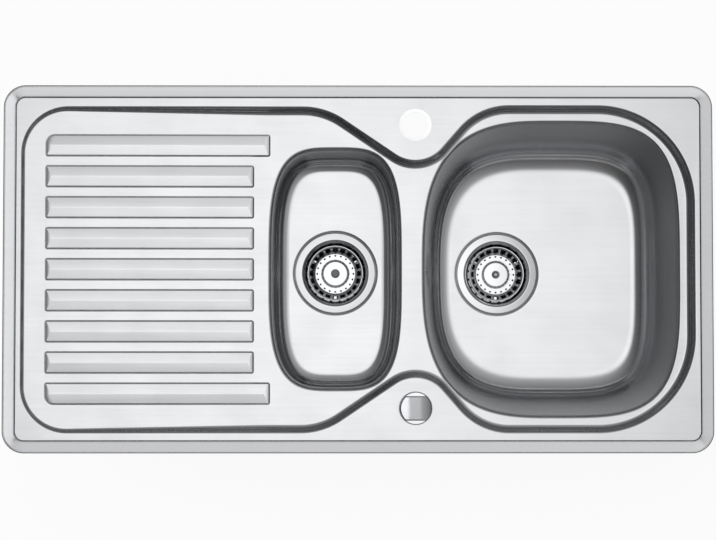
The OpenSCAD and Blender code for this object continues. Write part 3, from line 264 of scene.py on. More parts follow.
class Skin:
    """Collects points in millimetres and the faces between them."""

    def __init__(self):
        self.points, self.faces = [], []

    def ring(self, points):
        first = len(self.points)
        self.points += [Vector(p) for p in points]
        return list(range(first, len(self.points)))

    def hoop(self, x, y, z, radius, steps, start=0.0):
        """A level, round ring."""
        return self.ring([(p.x, p.y, z) for p in circle(x, y, radius, steps, start)])

    def bridge(self, a, b, skip=(), closed=True):
        """Quads between two rings of as many points."""
        for i in range(len(a) if closed else len(a) - 1):
            if i not in skip:
                k = (i + 1) % len(a)
                self.faces.append((a[i], a[k], b[k], b[i]))

    def loft(self, rings, closed=True):
        """Quads from each ring to the next."""
        for a, b in zip(rings, rings[1:]):
            self.bridge(a, b, closed=closed)

    def fan(self, ring, centre):
        middle = self.ring([centre])[0]
        for i in range(len(ring)):
            self.faces.append((ring[i], ring[(i + 1) % len(ring)], middle))

    def fill(self, outer, holes, lift, flat=lambda p: (p.x, p.y), lines=(), extra=()):
        """Triangles inside a loop and outside holes, along given lines and through extra points."""
        keys, plan, edges = [], [], []
        for loop in [outer, *holes]:
            first = len(keys)
            keys += loop
            plan += [flat(self.points[k]) for k in loop]
            edges += [(first + i, first + (i + 1) % len(loop)) for i in range(len(loop))]
        place = {k: i for i, k in enumerate(keys)}
        for end in [*(end for line in lines for end in line), *extra]:
            if end not in place:
                place[end] = len(plan)
                keys.append(None)
                plan.append(end)
        edges += [(place[a], place[b]) for a, b in lines]
        at, _, faces, origin, _, _ = delaunay_2d_cdt([Vector(p) for p in plan], edges, [], 0, 1e-7)
        index = []
        for p, source in zip(at, origin):
            known = [keys[i] for i in source if keys[i] is not None]
            index.append(known[0] if known else self.ring([lift(p.x, p.y)])[0])
        bounds = [[flat(self.points[k]) for k in loop] for loop in [outer, *holes]]
        boxes = [(min(p[0] for p in b), max(p[0] for p in b), min(p[1] for p in b),
                  max(p[1] for p in b)) for b in bounds]
        for face in faces:
            x = sum(at[i].x for i in face) / 3
            y = sum(at[i].y for i in face) / 3
            within = [box[0] < x < box[1] and box[2] < y < box[3] and inside((x, y), loop)
                      for box, loop in zip(boxes, bounds)]
            if within[0] and not any(within[1:]):
                self.faces.append(tuple(index[i] for i in face))

    def mesh(self, name, upward):
        """A mesh in metres. An open skin faces up, and a closed one faces outwards."""
        mesh = bpy.data.meshes.new(name)
        mesh.from_pydata([p / 1000 for p in self.points], [], self.faces)
        work = bmesh.new()
        work.from_mesh(mesh)
        bmesh.ops.remove_doubles(work, verts=work.verts, dist=1e-7)
        loose = [v for v in work.verts if not v.link_faces]
        bmesh.ops.delete(work, geom=loose, context="VERTS")
        shade(work, upward)
        work.to_mesh(mesh)
        work.free()
        return mesh


def lathe(skin, profile, centre, steps):
    """Carries a profile in radius and height round an upright axis."""
    rings = [skin.hoop(centre.x, centre.y, centre.z + z, r, steps) if r > 1e-6 else None
             for r, z in profile]
    for i, ring in enumerate(rings):
        k = (i + 1) % len(rings)
        if ring and rings[k]:
            skin.bridge(ring, rings[k])
        elif ring or rings[k]:
            tip = profile[i if rings[k] else k]
            skin.fan(ring or rings[k], centre + Vector((0, 0, tip[1])))


def turned(name, profile, centre, steps):
    """The mesh of one turned piece."""
    skin = Skin()
    lathe(skin, profile, centre, steps)
    return skin.mesh(name, False)


# Pieces


def placed(name, data):
    """A new object in the scene."""
    thing = bpy.data.objects.new(name, data)
    bpy.context.scene.collection.objects.link(thing)
    return thing


def piece(name, mesh, slot, nodes, thickness=0.0, edge=0.0, weighted=True):
    """Makes an object that stands for CAD nodes and rides on their body."""
    thing = placed(name, mesh)
    mesh.materials.clear()
    mesh.materials.append(finish(slot))
    if thickness:
        wall = thing.modifiers.new("Sheet", "SOLIDIFY")
        wall.thickness = thickness / 1000
        wall.offset = -1
        wall.use_even_offset = True
    if edge:
        bevel = thing.modifiers.new("Broken edges", "BEVEL")
        bevel.width = edge / 1000
        bevel.segments = 2
        bevel.limit_method = "ANGLE"
        bevel.angle_limit = math.radians(32)
    if weighted:
        thing.modifiers.new("Even shading", "WEIGHTED_NORMAL").keep_sharp = True
    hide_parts(*nodes)
    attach(thing, NODE_BODY[nodes[0]])
    return thing


def add(tree, kind, links=None, **settings):
    """Adds a node with its settings, values and links. A node stands for its first output."""
    node = tree.nodes.new(kind)
    for key, value in settings.items():
        setattr(node, key, value)
    for key, value in (links or {}).items():
        if isinstance(value, bpy.types.Node):
            value = value.outputs[0]
        if isinstance(value, bpy.types.NodeSocket):
            tree.links.new(value, node.inputs[key])
        else:
            node.inputs[key].default_value = value
    return node


def maths(tree, operation, *values):
    return add(tree, "ShaderNodeMath", dict(enumerate(values)), operation=operation)


def vectors(tree, operation, *values):
    return add(tree, "ShaderNodeVectorMath", dict(enumerate(values)), operation=operation)


def noise(tree, place, scale, detail, roughness=0.5):
    return add(tree, "ShaderNodeTexNoise",
               {"Vector": place, "Scale": scale, "Detail": detail, "Roughness": roughness})


def ranged(tree, value, low, high, to_low=0.0, to_high=1.0):
    """Carries a value from one range to another."""
    return add(tree, "ShaderNodeMapRange",
               {"Value": value, "From Min": low, "From Max": high, "To Min": to_low,
                "To Max": to_high})


def blend(tree, factor, low, high):
    """A colour between two."""
    return add(tree, "ShaderNodeMix", {0: factor, 6: (*low, 1), 7: (*high, 1)},
               data_type="RGBA").outputs[2]


def mixed(tree, factor, low, high):
    """A shader between two."""
    return add(tree, "ShaderNodeMixShader", {0: factor, 1: low, 2: high})


def new_material(name):
    """An empty node material and its tree."""
    material = bpy.data.materials.new(name)
    material.use_nodes = True
    material.node_tree.nodes.clear()
    return material, material.node_tree


def coat(tree, tone, rough, height, strength, depth, more):
    """Ends a material with its colour, roughness and bump."""
    bump = add(tree, "ShaderNodeBump",
               {"Height": height, "Strength": strength, "Distance": depth / 1000})
    shader = add(tree, "ShaderNodeBsdfPrincipled",
                 {"Base Color": tone, "Roughness": rough, "Normal": bump, **more})
    add(tree, "ShaderNodeOutputMaterial", {"Surface": shader})


def brushed(name, tint, across, roughness, depth, contrast):
    """Stainless steel with brush lines along X, across millimetres apart."""
    material, tree = new_material(name)
    place = add(tree, "ShaderNodeTexCoord").outputs["Object"]
    fine, broad = (
        noise(tree, add(tree, "ShaderNodeMapping",
                        {"Vector": place, "Scale": (along, lines / across, lines / across)}),
              1.0, detail, rough)
        for along, lines, detail, rough in ((14, 1000, 3.0, 0.62), (2.2, 170, 2.0, 0.5)))
    tone = blend(tree, ranged(tree, maths(tree, "ADD", fine, broad), 0.75, 1.25),
                 [c * (1 - contrast) for c in tint], [min(1, c * (1 + contrast)) for c in tint])
    gloss = ranged(tree, fine, 0.3, 0.7, roughness - 0.02, roughness + 0.02)
    # Handling leaves faint cloudy marks, some 60 mm across
    worn = ranged(tree, noise(tree, place, 16.0, 3.0), 0.35, 0.65, -0.012, 0.012)
    # Coining leaves the ring round the tap hole burnished
    near = vectors(tree, "DISTANCE", place, (HOLE_X / 1000, TAP_Y / 1000, 0.0035))
    coined = ranged(tree, near.outputs["Value"], 0.0217, 0.0224, 0.2)
    rough = maths(tree, "MULTIPLY", maths(tree, "ADD", gloss, worn), coined)
    coat(tree, tone, rough, fine, 0.35, depth, {"Metallic": 1.0})
    return material


def bright_metal(name, tint, roughness, grain, depth):
    """Polished or plated metal with fine turning and handling marks, grain millimetres across."""
    material, tree = new_material(name)
    place = add(tree, "ShaderNodeTexCoord").outputs["Object"]
    marks = noise(tree, place, 1000 / grain, 4.0, 0.7)
    smear = noise(tree, place, 70.0, 2.0)
    coat(tree, blend(tree, marks, [c * 0.93 for c in tint], tint),
         ranged(tree, smear, 0.35, 0.65, roughness * 0.8, roughness * 1.3),
         marks, 0.25, depth, {"Metallic": 1.0})
    return material


def moulded(name, tint, roughness, grain, depth, spread=0.12, sheen=0.0):
    """Plastic, rubber or foam with a moulded texture, grain millimetres across."""
    material, tree = new_material(name)
    place = add(tree, "ShaderNodeTexCoord").outputs["Object"]
    skin = add(tree, "ShaderNodeTexVoronoi", {"Vector": place, "Scale": 1000 / grain},
               feature="SMOOTH_F1")
    dust = noise(tree, place, 45.0, 5.0, 0.6)
    tone = blend(tree, dust, [c * (1 - spread) for c in tint],
                 [min(1, c * (1 + spread) + 0.01) for c in tint])
    coat(tree, tone, ranged(tree, dust, 0.3, 0.7, roughness - 0.06, roughness + 0.06),
         skin, 0.3, depth, {"IOR": 1.5, "Sheen Weight": sheen})
    return material


def make_finishes():
    """Every finish of the sink, by its slot."""
    c = {key: tuple(getattr(bpy.context.scene.sink_colours, key))
         for key in SinkColours.__annotations__}
    return {
        # Cold-rolled stainless with a brushed satin finish: soft streaks along the sheet.
        # The real lines are about 0.1 mm apart; they are drawn at 0.8 mm so that they show
        "sheet_steel": brushed("Brushed stainless sheet", c["steel"], 0.8, 0.2, 0.008, 0.014),
        # Polished stainless: sharp reflections, slightly hazed by handling
        "polished_steel": bright_metal("Polished stainless", c["polished"], 0.08, 1.2, 0.004),
        # Bright nickel and chrome plating on a metal knob: clear reflections
        "plated_metal": bright_metal("Bright plating", c["plating"], 0.13, 2.0, 0.003),
        # Zinc plated steel: dull bluish metal with a fine crystal texture
        "zinc_steel": bright_metal("Zinc plated steel", c["zinc"], 0.38, 0.6, 0.02),
        # Turned stainless screws and spindles, left bright
        "screw_steel": bright_metal("Turned steel", c["screw"], 0.24, 0.5, 0.008),
        # Injection moulded polypropylene with an eroded mould texture: satin black
        "dark_plastic": moulded("Moulded polypropylene", c["dark"], 0.48, 0.7, 0.03),
        # Moulded nylon with glass fibre: matt grey, slightly clouded
        "grey_plastic": moulded("Moulded nylon", c["grey"], 0.55, 0.6, 0.03),
        # Moulded acetal: smooth off-white with a waxy gloss
        "pale_plastic": moulded("Moulded acetal", c["pale"], 0.36, 1.2, 0.01, 0.04),
        # Blown polyethylene hose: smooth and slightly waxy
        "hose_plastic": moulded("Blown polyethylene", c["hose"], 0.42, 1.5, 0.015, 0.05),
        # Moulded ABS button: glossy mid grey
        "button_plastic": moulded("Glossy ABS", c["button"], 0.22, 1.4, 0.006, 0.05),
        # Moulded EPDM rubber: matt black with a faint bloom
        "black_rubber": moulded("EPDM rubber", c["rubber"], 0.62, 0.8, 0.03, 0.15, 0.08),
        # Closed-cell polyethylene foam: open cut cells of about 1 mm
        "foam": moulded("Closed-cell foam", c["foam"], 0.85, 1.1, 0.25, 0.2, 0.1),
        # Bitumen sheet pressed on: heavy, matt and slightly grained
        "damping_pad": moulded("Bitumen sheet", c["pad"], 0.75, 1.6, 0.12, 0.2),
        # Pressed fibre board: warm brown with short fibres
        "fibre": moulded("Pressed fibre", c["fibre"], 0.8, 0.5, 0.06, 0.22),
    }


def finish(slot):
    """The material of a slot, made with all the others the first time."""
    if not finish.made:
        finish.made.update(make_finishes())
    return finish.made[slot]


finish.made = {}


# Deck

HOLE_X, TAP_Y, CONTROL_Y = 77.4, 195.6, -189.0
HALF_X, HALF_LENGTH, MAIN_WASTE = -31.6, 91.25, 198.6
CONTROL_R = 17.5
WET_END, WET_SIDE, DRAINER_IN = 24.4, 27.0, 2.0  # margins of the wet area, more at the drainer
WET_CORNER = 2.2  # from the half bowl's mouth to the fold where the drainer starts
RIB_START, RIB_LONG, RIB_SHORT = 56.8, 306.0, 284.0  # from the deck's left end, and lengths
RIB_SHIFT, RIDGE_IN = -0.6, 8.5  # towards the front, and from a rib's end to its ridge
LIP_IN = 5.0
SEAT_R, FLOOR_FALL = 64.0, 1.2  # edge of the pressed seat, and the floor's fall towards it
COLUMNS, PAN_FROM, PAN_TO = 192, 93, 98  # points round a bowl, and those beside the overflow
PAN_R, PAN_DEPTH = 27.4, 2.0


def bowls(s):
    """Both bowls. left, right, floor_left and floor are the exponents of the outlines' corners."""
    return {
        "main": dict(x=262.7, a=176.7, b=203.5, left=2.92, right=3.85, floor_left=3.0, floor=4.4,
                     shift=-3.0, depth=s["main_depth"], lean=math.radians(7.5), rx=26.5, ry=35.5,
                     power=2.35, waste=MAIN_WASTE),
        "half": dict(x=HALF_X, a=HALF_LENGTH, b=166.7, left=3.5, right=3.7, floor_left=3.8,
                     floor=3.8, shift=0.0, depth=s["half_depth"], lean=math.radians(0.8),
                     rx=19.7, ry=19.6, power=2.05, waste=HALF_X),
    }


def oval(bowl, in_x, in_y, share):
    """Mouth outline of a bowl, moved inwards, and shifted and reshaped by share."""
    points = []
    for i in range(COLUMNS):
        t = math.tau * (i + 0.5) / COLUMNS
        n, low = (bowl["left"], bowl["floor_left"]) if math.cos(t) < 0 else (
            bowl["right"], bowl["floor"])
        n += (low - n) * share
        points.append(Vector((bowl["x"] + bowl["shift"] * share
                              + (bowl["a"] - in_x) * signed_power(math.cos(t), 2 / n),
                              (bowl["b"] - in_y) * signed_power(math.sin(t), 2 / n))))
    return points


def rounding(power, lean, steps=18):
    """Points of a wall's rounding into the floor, as shares of its width and height."""
    curve = []
    for i in range(4 * steps + 1):
        a = math.pi / 8 * i / steps
        curve.append((1 - math.cos(a) ** (2 / power), math.sin(a) ** (2 / power)))
    start = next(i for i, (p, q) in enumerate(zip(curve, curve[1:]))
                 if q[0] - p[0] >= math.tan(lean) * (q[1] - p[1]))
    x0, y0 = curve[start]
    kept = curve[start + 4 :: 4]
    return [((x - x0) / (1 - x0), (y - y0) / (1 - y0)) for x, y in kept[:-1]] + [(1, 1)]


def wet_area(s):
    """Outline of the wet area, and its depth at a place along the deck."""
    left, right = s["drainer_margin"] - s["deck_length"] / 2, s["deck_length"] / 2 - WET_END
    side = s["deck_width"] / 2 - WET_SIDE
    fold = HALF_X - HALF_LENGTH - WET_CORNER
    n1 = Vector((-math.sin(math.radians(34)), -math.cos(math.radians(34))))
    n2 = Vector((math.sin(math.radians(49)), -math.cos(math.radians(49))))
    dip = 47.4
    tap = Vector((HOLE_X, TAP_Y))
    d1, d2 = n1.dot(tap) + dip, n2.dot(tap) + dip
    low = meet(n1, d1, n2, d2)
    up = Vector((0, 1))

    def half(drainer):
        a, b = meet(n1, d1, up, drainer), meet(n2, d2, up, side)
        return [(right, side, 133, 48), (b.x, side, 90, 20), (low.x, low.y, dip, 32),
                (a.x, drainer, 100, 16), (fold, drainer, 0, 0), (left, drainer, 64, 28)]

    back = half(side - DRAINER_IN)
    front = [(x, -y, r, n) for x, y, r, n in reversed(half(side))]

    def fall(x):
        if x > fold:
            return s["bowl_fall"]
        return s["drainer_fall"] + (s["bowl_fall"] - s["drainer_fall"]) * (x - left) / (fold - left)

    return rounded(back + front), fall, fold


# Section of the wet area's wall, inwards and down, as shares of the area's depth
WALL = ((-0.06, 0), (0.02, 0.008), (0.1, 0.035), (0.19, 0.085), (0.27, 0.15), (0.36, 0.27),
        (0.5, 0.5), (0.63, 0.71), (0.73, 0.815), (0.83, 0.885), (0.93, 0.94), (1.03, 0.975),
        (1.13, 0.994), (1.22, 1))
# Section of a rib's side: millimetres inwards, and share of its height
RIB_SIDE = ((0, 0), (0.3, 0.04), (0.6, 0.16), (0.95, 0.36), (1.35, 0.64), (1.65, 0.84),
            (2, 0.95), (2.5, 1), (2.9, 1.012))


def rib_rings(s, number, fold, floor_z):
    """Rings of one rib from its foot up, and the ends of its roof's flat ridge."""
    outer = abs(number) == 4
    along = RIB_LONG if outer else RIB_SHORT
    x0 = RIB_START - s["deck_length"] / 2
    x1, y = x0 + along, number * s["rib_pitch"] + RIB_SHIFT
    half = s["rib_width"] / 2
    # The outermost ribs have one wide corner, the one nearest the deck's corner
    low_end, high_end = (13 if outer and number * way > 0 else 3.6 for way in (-1, 1))
    rings = []
    for u, share in RIB_SIDE:
        plan = []
        for cx, cy, radius, start in ((x1, y - half, 3.6, -90), (x1, y + half, 3.6, 0),
                                      (x0, y + half, high_end, 90), (x0, y - half, low_end, 180)):
            sx, sy = (-1 if cx == x1 else 1), (-1 if cy > y else 1)
            mx, my = cx + sx * radius, cy + sy * radius
            plan += arc(mx, my, radius - u, math.radians(start), math.pi / 2, 8)
            if outer and start in (0, 180):
                plan.append((fold, cy + sy * u))
        rings.append([(px, py, floor_z(px) + s["rib_height"] * share) for px, py in plan])
    return rings, (x0 + RIDGE_IN, x1 - RIDGE_IN, y - 1.2, y + 1.2)


def deck_mesh(s):
    skin = Skin()
    ledge = s["ledge_height"]
    crest = s["rim_height"]
    half_l, half_w, corner = s["deck_length"] / 2, s["deck_width"] / 2, s["deck_corner"]

    def band(u, z):
        """Outline of the deck moved in by u, and by a little less at the front and back."""
        points = []
        for quarter, (sx, sy) in enumerate(((1, 1), (-1, 1), (-1, -1), (1, -1))):
            for i in range(25):
                a = math.radians(90 * quarter + 90 * i / 24)
                points.append((sx * (half_l - corner) + (corner - u) * math.cos(a),
                               sy * (half_w - corner) + (corner - 0.96 * u) * math.sin(a), z))
        return points

    wide = s["rim_width"]
    rim = [(0, 0.05), (0.4, 0.48), (0.8, 0.84), (1.25, 1.12), (1.6, 1.22)] + [
        tuple(p) for p in softened([(1.9, 1.25), (2.8, 1.31), (wide - 1.5, crest - 0.12),
                                    (wide - 0.7, crest - 0.05), (wide + 0.8, ledge),
                                    (wide + 2, ledge)], 0.4, 4)]
    rings = [skin.ring(band(u, z)) for u, z in rim]
    skin.loft(rings)

    outline, fall, fold = wet_area(s)
    walls = []
    for share, down in WALL:
        ring = inset(outline, [fall(p.x) * share for p in outline])
        walls.append(skin.ring([(q.x, q.y, ledge - down * fall(q.x if down > 0.9 else p.x))
                                for p, q in zip(outline, ring)]))
    skin.loft(walls)

    # Tap hole with its coined edge, and the control's plain hole
    bore = s["tap_bore"] / 2
    coin = [skin.hoop(HOLE_X, TAP_Y, ledge + z, bore + r, 72)
            for r, z in ((5.2, 0), (4.4, -0.02), (3.8, -0.05), (1.2, -0.08), (0, -0.1))]
    skin.loft(coin)
    control = skin.hoop(HOLE_X, CONTROL_Y, ledge, CONTROL_R, 72)
    skin.fill(rings[-1], [walls[0], coin[0], control], lambda x, y: (x, y, ledge))

    def floor_z(x):
        return ledge - fall(x)

    feet, lines = [], []
    for number in range(-4, 5):
        shapes, (x0, x1, y0, y1) = rib_rings(s, number, fold, floor_z)
        layers = [skin.ring(r) for r in shapes]
        skin.loft(layers)
        top = s["rib_height"] * 1.012 + s["rib_roof"]
        corners = [(x0, y0), (x1, y0), (x1, y1), (x0, y1)]
        skin.fill(layers[-1], [], lambda x, y: (x, y, floor_z(x) + top),
                  lines=[(corners[i], corners[(i + 1) % 4]) for i in range(4)])
        feet.append(layers[0])
        if abs(number) == 4:
            lines += [k for k in layers[0] if abs(skin.points[k].x - fold) < 1e-6]
    lines += [k for k in walls[-1] if abs(skin.points[k].x - fold) < 1e-6]
    lines.sort(key=lambda k: skin.points[k].y)
    mouths = [skin.ring([(p.x, p.y, ledge - s["bowl_fall"]) for p in oval(b, 0, 0, 0)])
              for b in bowls(s).values()]
    skin.fill(walls[-1], feet + mouths, lambda x, y: (x, y, floor_z(x)),
              lines=list(zip(lines[0::2], lines[1::2])))
    return skin.mesh("deck_pressing", True)


def bowl_mesh(s, name):
    """A drawn bowl from its lip to the bore of its waste. The main one has the overflow."""
    bowl, overflow = bowls(s)[name], name == "main"
    wet = s["ledge_height"] - s["bowl_fall"]
    lean, rx, ry, depth = bowl["lean"], bowl["rx"], bowl["ry"], bowl["depth"]
    run = (depth - rx - LIP_IN) * math.tan(lean)
    whole = LIP_IN + run + rx
    lip = s["lip_radius"] - 1.4
    # The lip rolls down to a narrow step along the weld, and then into the wall
    lips = [(lip * math.sin(a), lip * (1 - math.cos(a)))
            for a in (math.radians(11 * i) for i in range(8))]
    lips += [(lip + 0.1, lip + 0.1), (lip + 0.7, lip + 0.45), (LIP_IN - 0.1, lip + 0.75),
             (LIP_IN + 0.02, lip + 1.5)]
    rows = [(u, u, down) for u, down in lips]
    top_row = len(rows)
    for d in (14, *((78, 100) if overflow else (50, 90)), depth - rx):
        k = (d - LIP_IN) / (depth - rx - LIP_IN)
        rows.append((LIP_IN + run * k, LIP_IN + run * ry / rx * k, d))
    rows += [(LIP_IN + run + rx * out, LIP_IN + run * ry / rx + ry * out, depth - rx + rx * down)
             for out, down in rounding(bowl["power"], lean)]
    # The floor falls evenly to the pressed seat, so its edge is lowest where it is nearest
    far = [math.hypot(p.x - bowl["waste"], p.y) - SEAT_R for p in oval(bowl, *rows[-1][:2], 1)]
    sag = [FLOOR_FALL * (1 - d / max(far)) for d in far]
    skin = Skin()
    rings = [skin.ring([(p.x, p.y, wet - row[2] - lower * max(0, (row[2] - depth + rx) / rx))
                        for p, lower in zip(oval(bowl, row[0], row[1], row[0] / whole), sag)])
             for row in rows]
    for j, (a, b) in enumerate(zip(rings, rings[1:])):
        skin.bridge(a, b, range(PAN_FROM, PAN_TO) if overflow and j == top_row else ())

    # Floor, falling to the pressed seat round the waste
    floor, turn = wet - depth - FLOOR_FALL, math.pi / COLUMNS
    edge = [skin.points[k].copy() for k in rings[-1]]
    target = circle(bowl["waste"], 0, SEAT_R, COLUMNS, turn)
    dish = softened([(SEAT_R, 0), (59.4, -0.04), (57.2, -1.8), (45, -1.8)], 1.3, 4)
    skin.loft([rings[-1]] + [
        skin.ring([(e.x + (t.x - e.x) * share, e.y + (t.y - e.y) * share,
                    e.z + (floor - e.z) * share) for e, t in zip(edge, target)])
        for share in (0.2, 0.45, 0.72, 1.0)
    ] + [skin.hoop(bowl["waste"], 0, floor + z, r, COLUMNS, turn) for r, z in dish[1:]])
    if overflow:
        overflow_pan(s, skin, bowl, wet, run, rings[top_row], rings[top_row + 1])
    return skin.mesh(name + "_bowl_shell", True)


def overflow_frame(s):
    """Middle of the overflow on the wall, and its directions down the wall, along it and out."""
    bowl, depth = bowls(s)["main"], s["overflow_depth"]
    lean = bowl["lean"]
    x = bowl["x"] - bowl["a"] + LIP_IN + (depth - LIP_IN) * math.tan(lean)
    return (Vector((x, 0, s["ledge_height"] - s["bowl_fall"] - depth)),
            Vector((math.sin(lean), 0, -math.cos(lean))), Vector((0, 1, 0)),
            Vector((math.cos(lean), 0, math.sin(lean))))


def overflow_pan(s, skin, bowl, wet, run, upper, lower):
    """Joins the pressed, punched pan to the wall."""
    origin, down, along, out = overflow_frame(s)
    whole = LIP_IN + run + bowl["rx"]

    def on_wall(x, y):
        """Point of the wall in the overflow's own frame."""
        p = origin + down * x
        depth = wet - p.z
        k = (depth - LIP_IN) / (bowl["depth"] - bowl["rx"] - LIP_IN)
        in_x, in_y = LIP_IN + run * k, LIP_IN + run * bowl["ry"] / bowl["rx"] * k
        n = bowl["left"] + (bowl["floor_left"] - bowl["left"]) * in_x / whole
        side = 1 - (abs(y) / (bowl["b"] - in_y)) ** n
        wall_x = bowl["x"] + bowl["shift"] * in_x / whole - (bowl["a"] - in_x) * side ** (1 / n)
        return p + along * y + out * (wall_x - p.x) / out.x

    def flat(p):
        return ((p - origin).dot(down), p.y)

    def in_pan(x, y, depth):
        """Point of the flat pan, below the middle of the wall."""
        return origin + down * x + along * y - out * depth

    rim = skin.ring([on_wall(p.x, p.y) for p in circle(0, 0, PAN_R, 60)])
    columns = slice(PAN_FROM, PAN_TO + 1)
    skin.fill(upper[columns] + list(reversed(lower[columns])), [rim], on_wall, flat=flat)
    pan = [rim] + [
        skin.ring([on_wall(p.x, p.y) * share + in_pan(p.x, p.y, 0) * (1 - share) - out * depth
                   for p in circle(0, 0, r, 60)])
        for r, depth, share in ((26.9, 0.03, 0.8), (26.3, 0.22, 0.5), (25.6, 0.75, 0.25),
                                (24.9, 1.4, 0.1), (24.2, 1.85, 0), (23.4, PAN_DEPTH, 0))]
    skin.loft(pan)
    # The round punched holes with their slightly rolled edges
    holes = []
    for count, far, radius in ((1, 0, 2.8), (8, 9.5, 2.1), (14, 16.4, 2.1)):
        for i in range(count):
            a = math.tau * i / count + math.radians(90 / count)
            edges = [skin.ring([in_pan(p.x, p.y, PAN_DEPTH + z) for p in circle(
                far * math.cos(a), far * math.sin(a), radius + r, 20)])
                     for r, z in ((0.5, 0), (0.2, 0.06), (0, 0.3))]
            skin.loft(edges)
            holes.append(edges[0])
    skin.fill(pan[-1], holes, lambda x, y: in_pan(x, y, PAN_DEPTH), flat=flat)


class SINK_OT_deck(bpy.types.Operator):
    """Make the pressed deck with its rim, wet area, ribs and tap hole"""

    bl_idname = "sink.deck"
    bl_label = "Deck"

    def execute(self, context):
        s = sizes()
        piece("deck_pressing", deck_mesh(s), "sheet_steel", ["deck"], s["sheet"])
        return {"FINISHED"}


class SINK_OT_bowls(bpy.types.Operator):
    """Make the main bowl with its overflow, and the half bowl"""

    bl_idname = "sink.bowls"
    bl_label = "Bowls"

    def execute(self, context):
        s = sizes()
        for name in ("main", "half"):
            piece(name + "_bowl_shell", bowl_mesh(s, name), "sheet_steel", [name + "_bowl"],
                  s["sheet"])
        return {"FINISHED"}


# Repeats with Geometry Nodes


def geometry_tree(name, **inputs):
    """A geometry node tree with named inputs, one of them the material, and its input sockets."""
    tree = bpy.data.node_groups.new(name, "GeometryNodeTree")
    for label, kind in {"Geometry": "Geometry", **inputs, "Material": "Material"}.items():
        tree.interface.new_socket(label, in_out="INPUT", socket_type="NodeSocket" + kind)
    tree.interface.new_socket("Geometry", in_out="OUTPUT", socket_type="NodeSocketGeometry")
    return tree, add(tree, "NodeGroupInput").outputs


def end_tree(tree, shape, given):
    """Gives the shape its material and hands it out."""
    shape = add(tree, "GeometryNodeSetMaterial",
                {"Geometry": shape, "Material": given["Material"]})
    add(tree, "NodeGroupOutput", {"Geometry": shape})
    return tree


def repeat_tree():
    """Repeats a piece round an upright axis and joins the copies where they touch."""
    tree, given = geometry_tree("Repeat round an axis", Count="Int", Centre="Vector",
                                Join="Float")
    places = add(tree, "GeometryNodeMeshLine", {"Count": given["Count"], "Offset": (0, 0, 0)},
                 mode="OFFSET")
    turn = maths(tree, "MULTIPLY", add(tree, "GeometryNodeInputIndex"), math.tau)
    spin = add(tree, "ShaderNodeCombineXYZ", {"Z": maths(tree, "DIVIDE", turn, given["Count"])})
    shape = add(tree, "GeometryNodeInstanceOnPoints", {
        "Points": places, "Instance": given["Geometry"],
        "Rotation": add(tree, "FunctionNodeEulerToRotation", {0: spin})})
    shape = add(tree, "GeometryNodeRealizeInstances", {"Geometry": shape})
    shape = add(tree, "GeometryNodeMergeByDistance",
                {"Geometry": shape, "Distance": given["Join"]})
    shape = add(tree, "GeometryNodeTransform",
                {"Geometry": shape, "Translation": given["Centre"]})
    return end_tree(tree, shape, given)


def tube_tree(ribbed):
    """A cable or hose along a path, with ribs round it if it is ribbed."""
    tree, given = geometry_tree("Ribbed hose" if ribbed else "Round cable", Radius="Float",
                                Rib="Float", Pitch="Float")

    def ring(steps, radius):
        return add(tree, "GeometryNodeCurvePrimitiveCircle",
                   {"Resolution": steps, "Radius": radius})

    path = add(tree, "GeometryNodeMeshToCurve", {"Mesh": given["Geometry"]})
    core_r = maths(tree, "SUBTRACT", given["Radius"], given["Rib"])
    shape = add(tree, "GeometryNodeCurveToMesh",
                {"Curve": path, "Profile Curve": ring(32, core_r), "Fill Caps": True})
    if ribbed:
        stops = add(tree, "GeometryNodeCurveToPoints", {"Curve": path, "Length": given["Pitch"]},
                    mode="LENGTH")
        rib = add(tree, "GeometryNodeCurveToMesh",
                  {"Curve": ring(40, core_r), "Profile Curve": ring(8, given["Rib"])})
        ribs = add(tree, "GeometryNodeInstanceOnPoints", {
            "Points": stops, "Instance": rib, "Rotation": stops.outputs["Rotation"]})
        both = add(tree, "GeometryNodeJoinGeometry")
        for part in (shape, ribs):
            tree.links.new(part.outputs[0], both.inputs[0])
        shape = both
    shape = add(tree, "GeometryNodeRealizeInstances", {"Geometry": shape})
    shape = add(tree, "GeometryNodeSetShadeSmooth", {"Geometry": shape})
    return end_tree(tree, shape, given)


def grown(mesh, tree, values):
    """The plain mesh that a geometry node tree makes of a mesh."""
    helper = placed("helper", mesh)
    modifier = helper.modifiers.new("Repeat", "NODES")
    modifier.node_group = tree
    for item in tree.interface.items_tree:
        if item.in_out == "INPUT" and item.name in values:
            modifier[item.identifier] = values[item.name]
    bpy.context.view_layer.update()
    graph = bpy.context.evaluated_depsgraph_get()
    result = bpy.data.meshes.new_from_object(helper.evaluated_get(graph))
    bpy.data.objects.remove(helper)
    bpy.data.meshes.remove(mesh)
    return result


# Strainers. Heights are above the seat in the bowl

SEATS = {"main": Vector((MAIN_WASTE, 0, -164.2)), "half": Vector((HALF_X, 0, -135.2))}
CUP = [(57, 1.4), (56.2, 2), (47.5, 2.6), (46.3, 2.3), (45.6, 1.2), (43.2, 0), (42.6, -1.6),
       (42.2, -24), (41.2, -26.4), (39.6, -27.2)]
THIN, WASTE_R = 0.8, 47.6  # sheet of the cups and baskets, and radius of a waste's body
DISC_Z, BASE_Z = -18.2, -22.2  # a basket's raised middle and its base


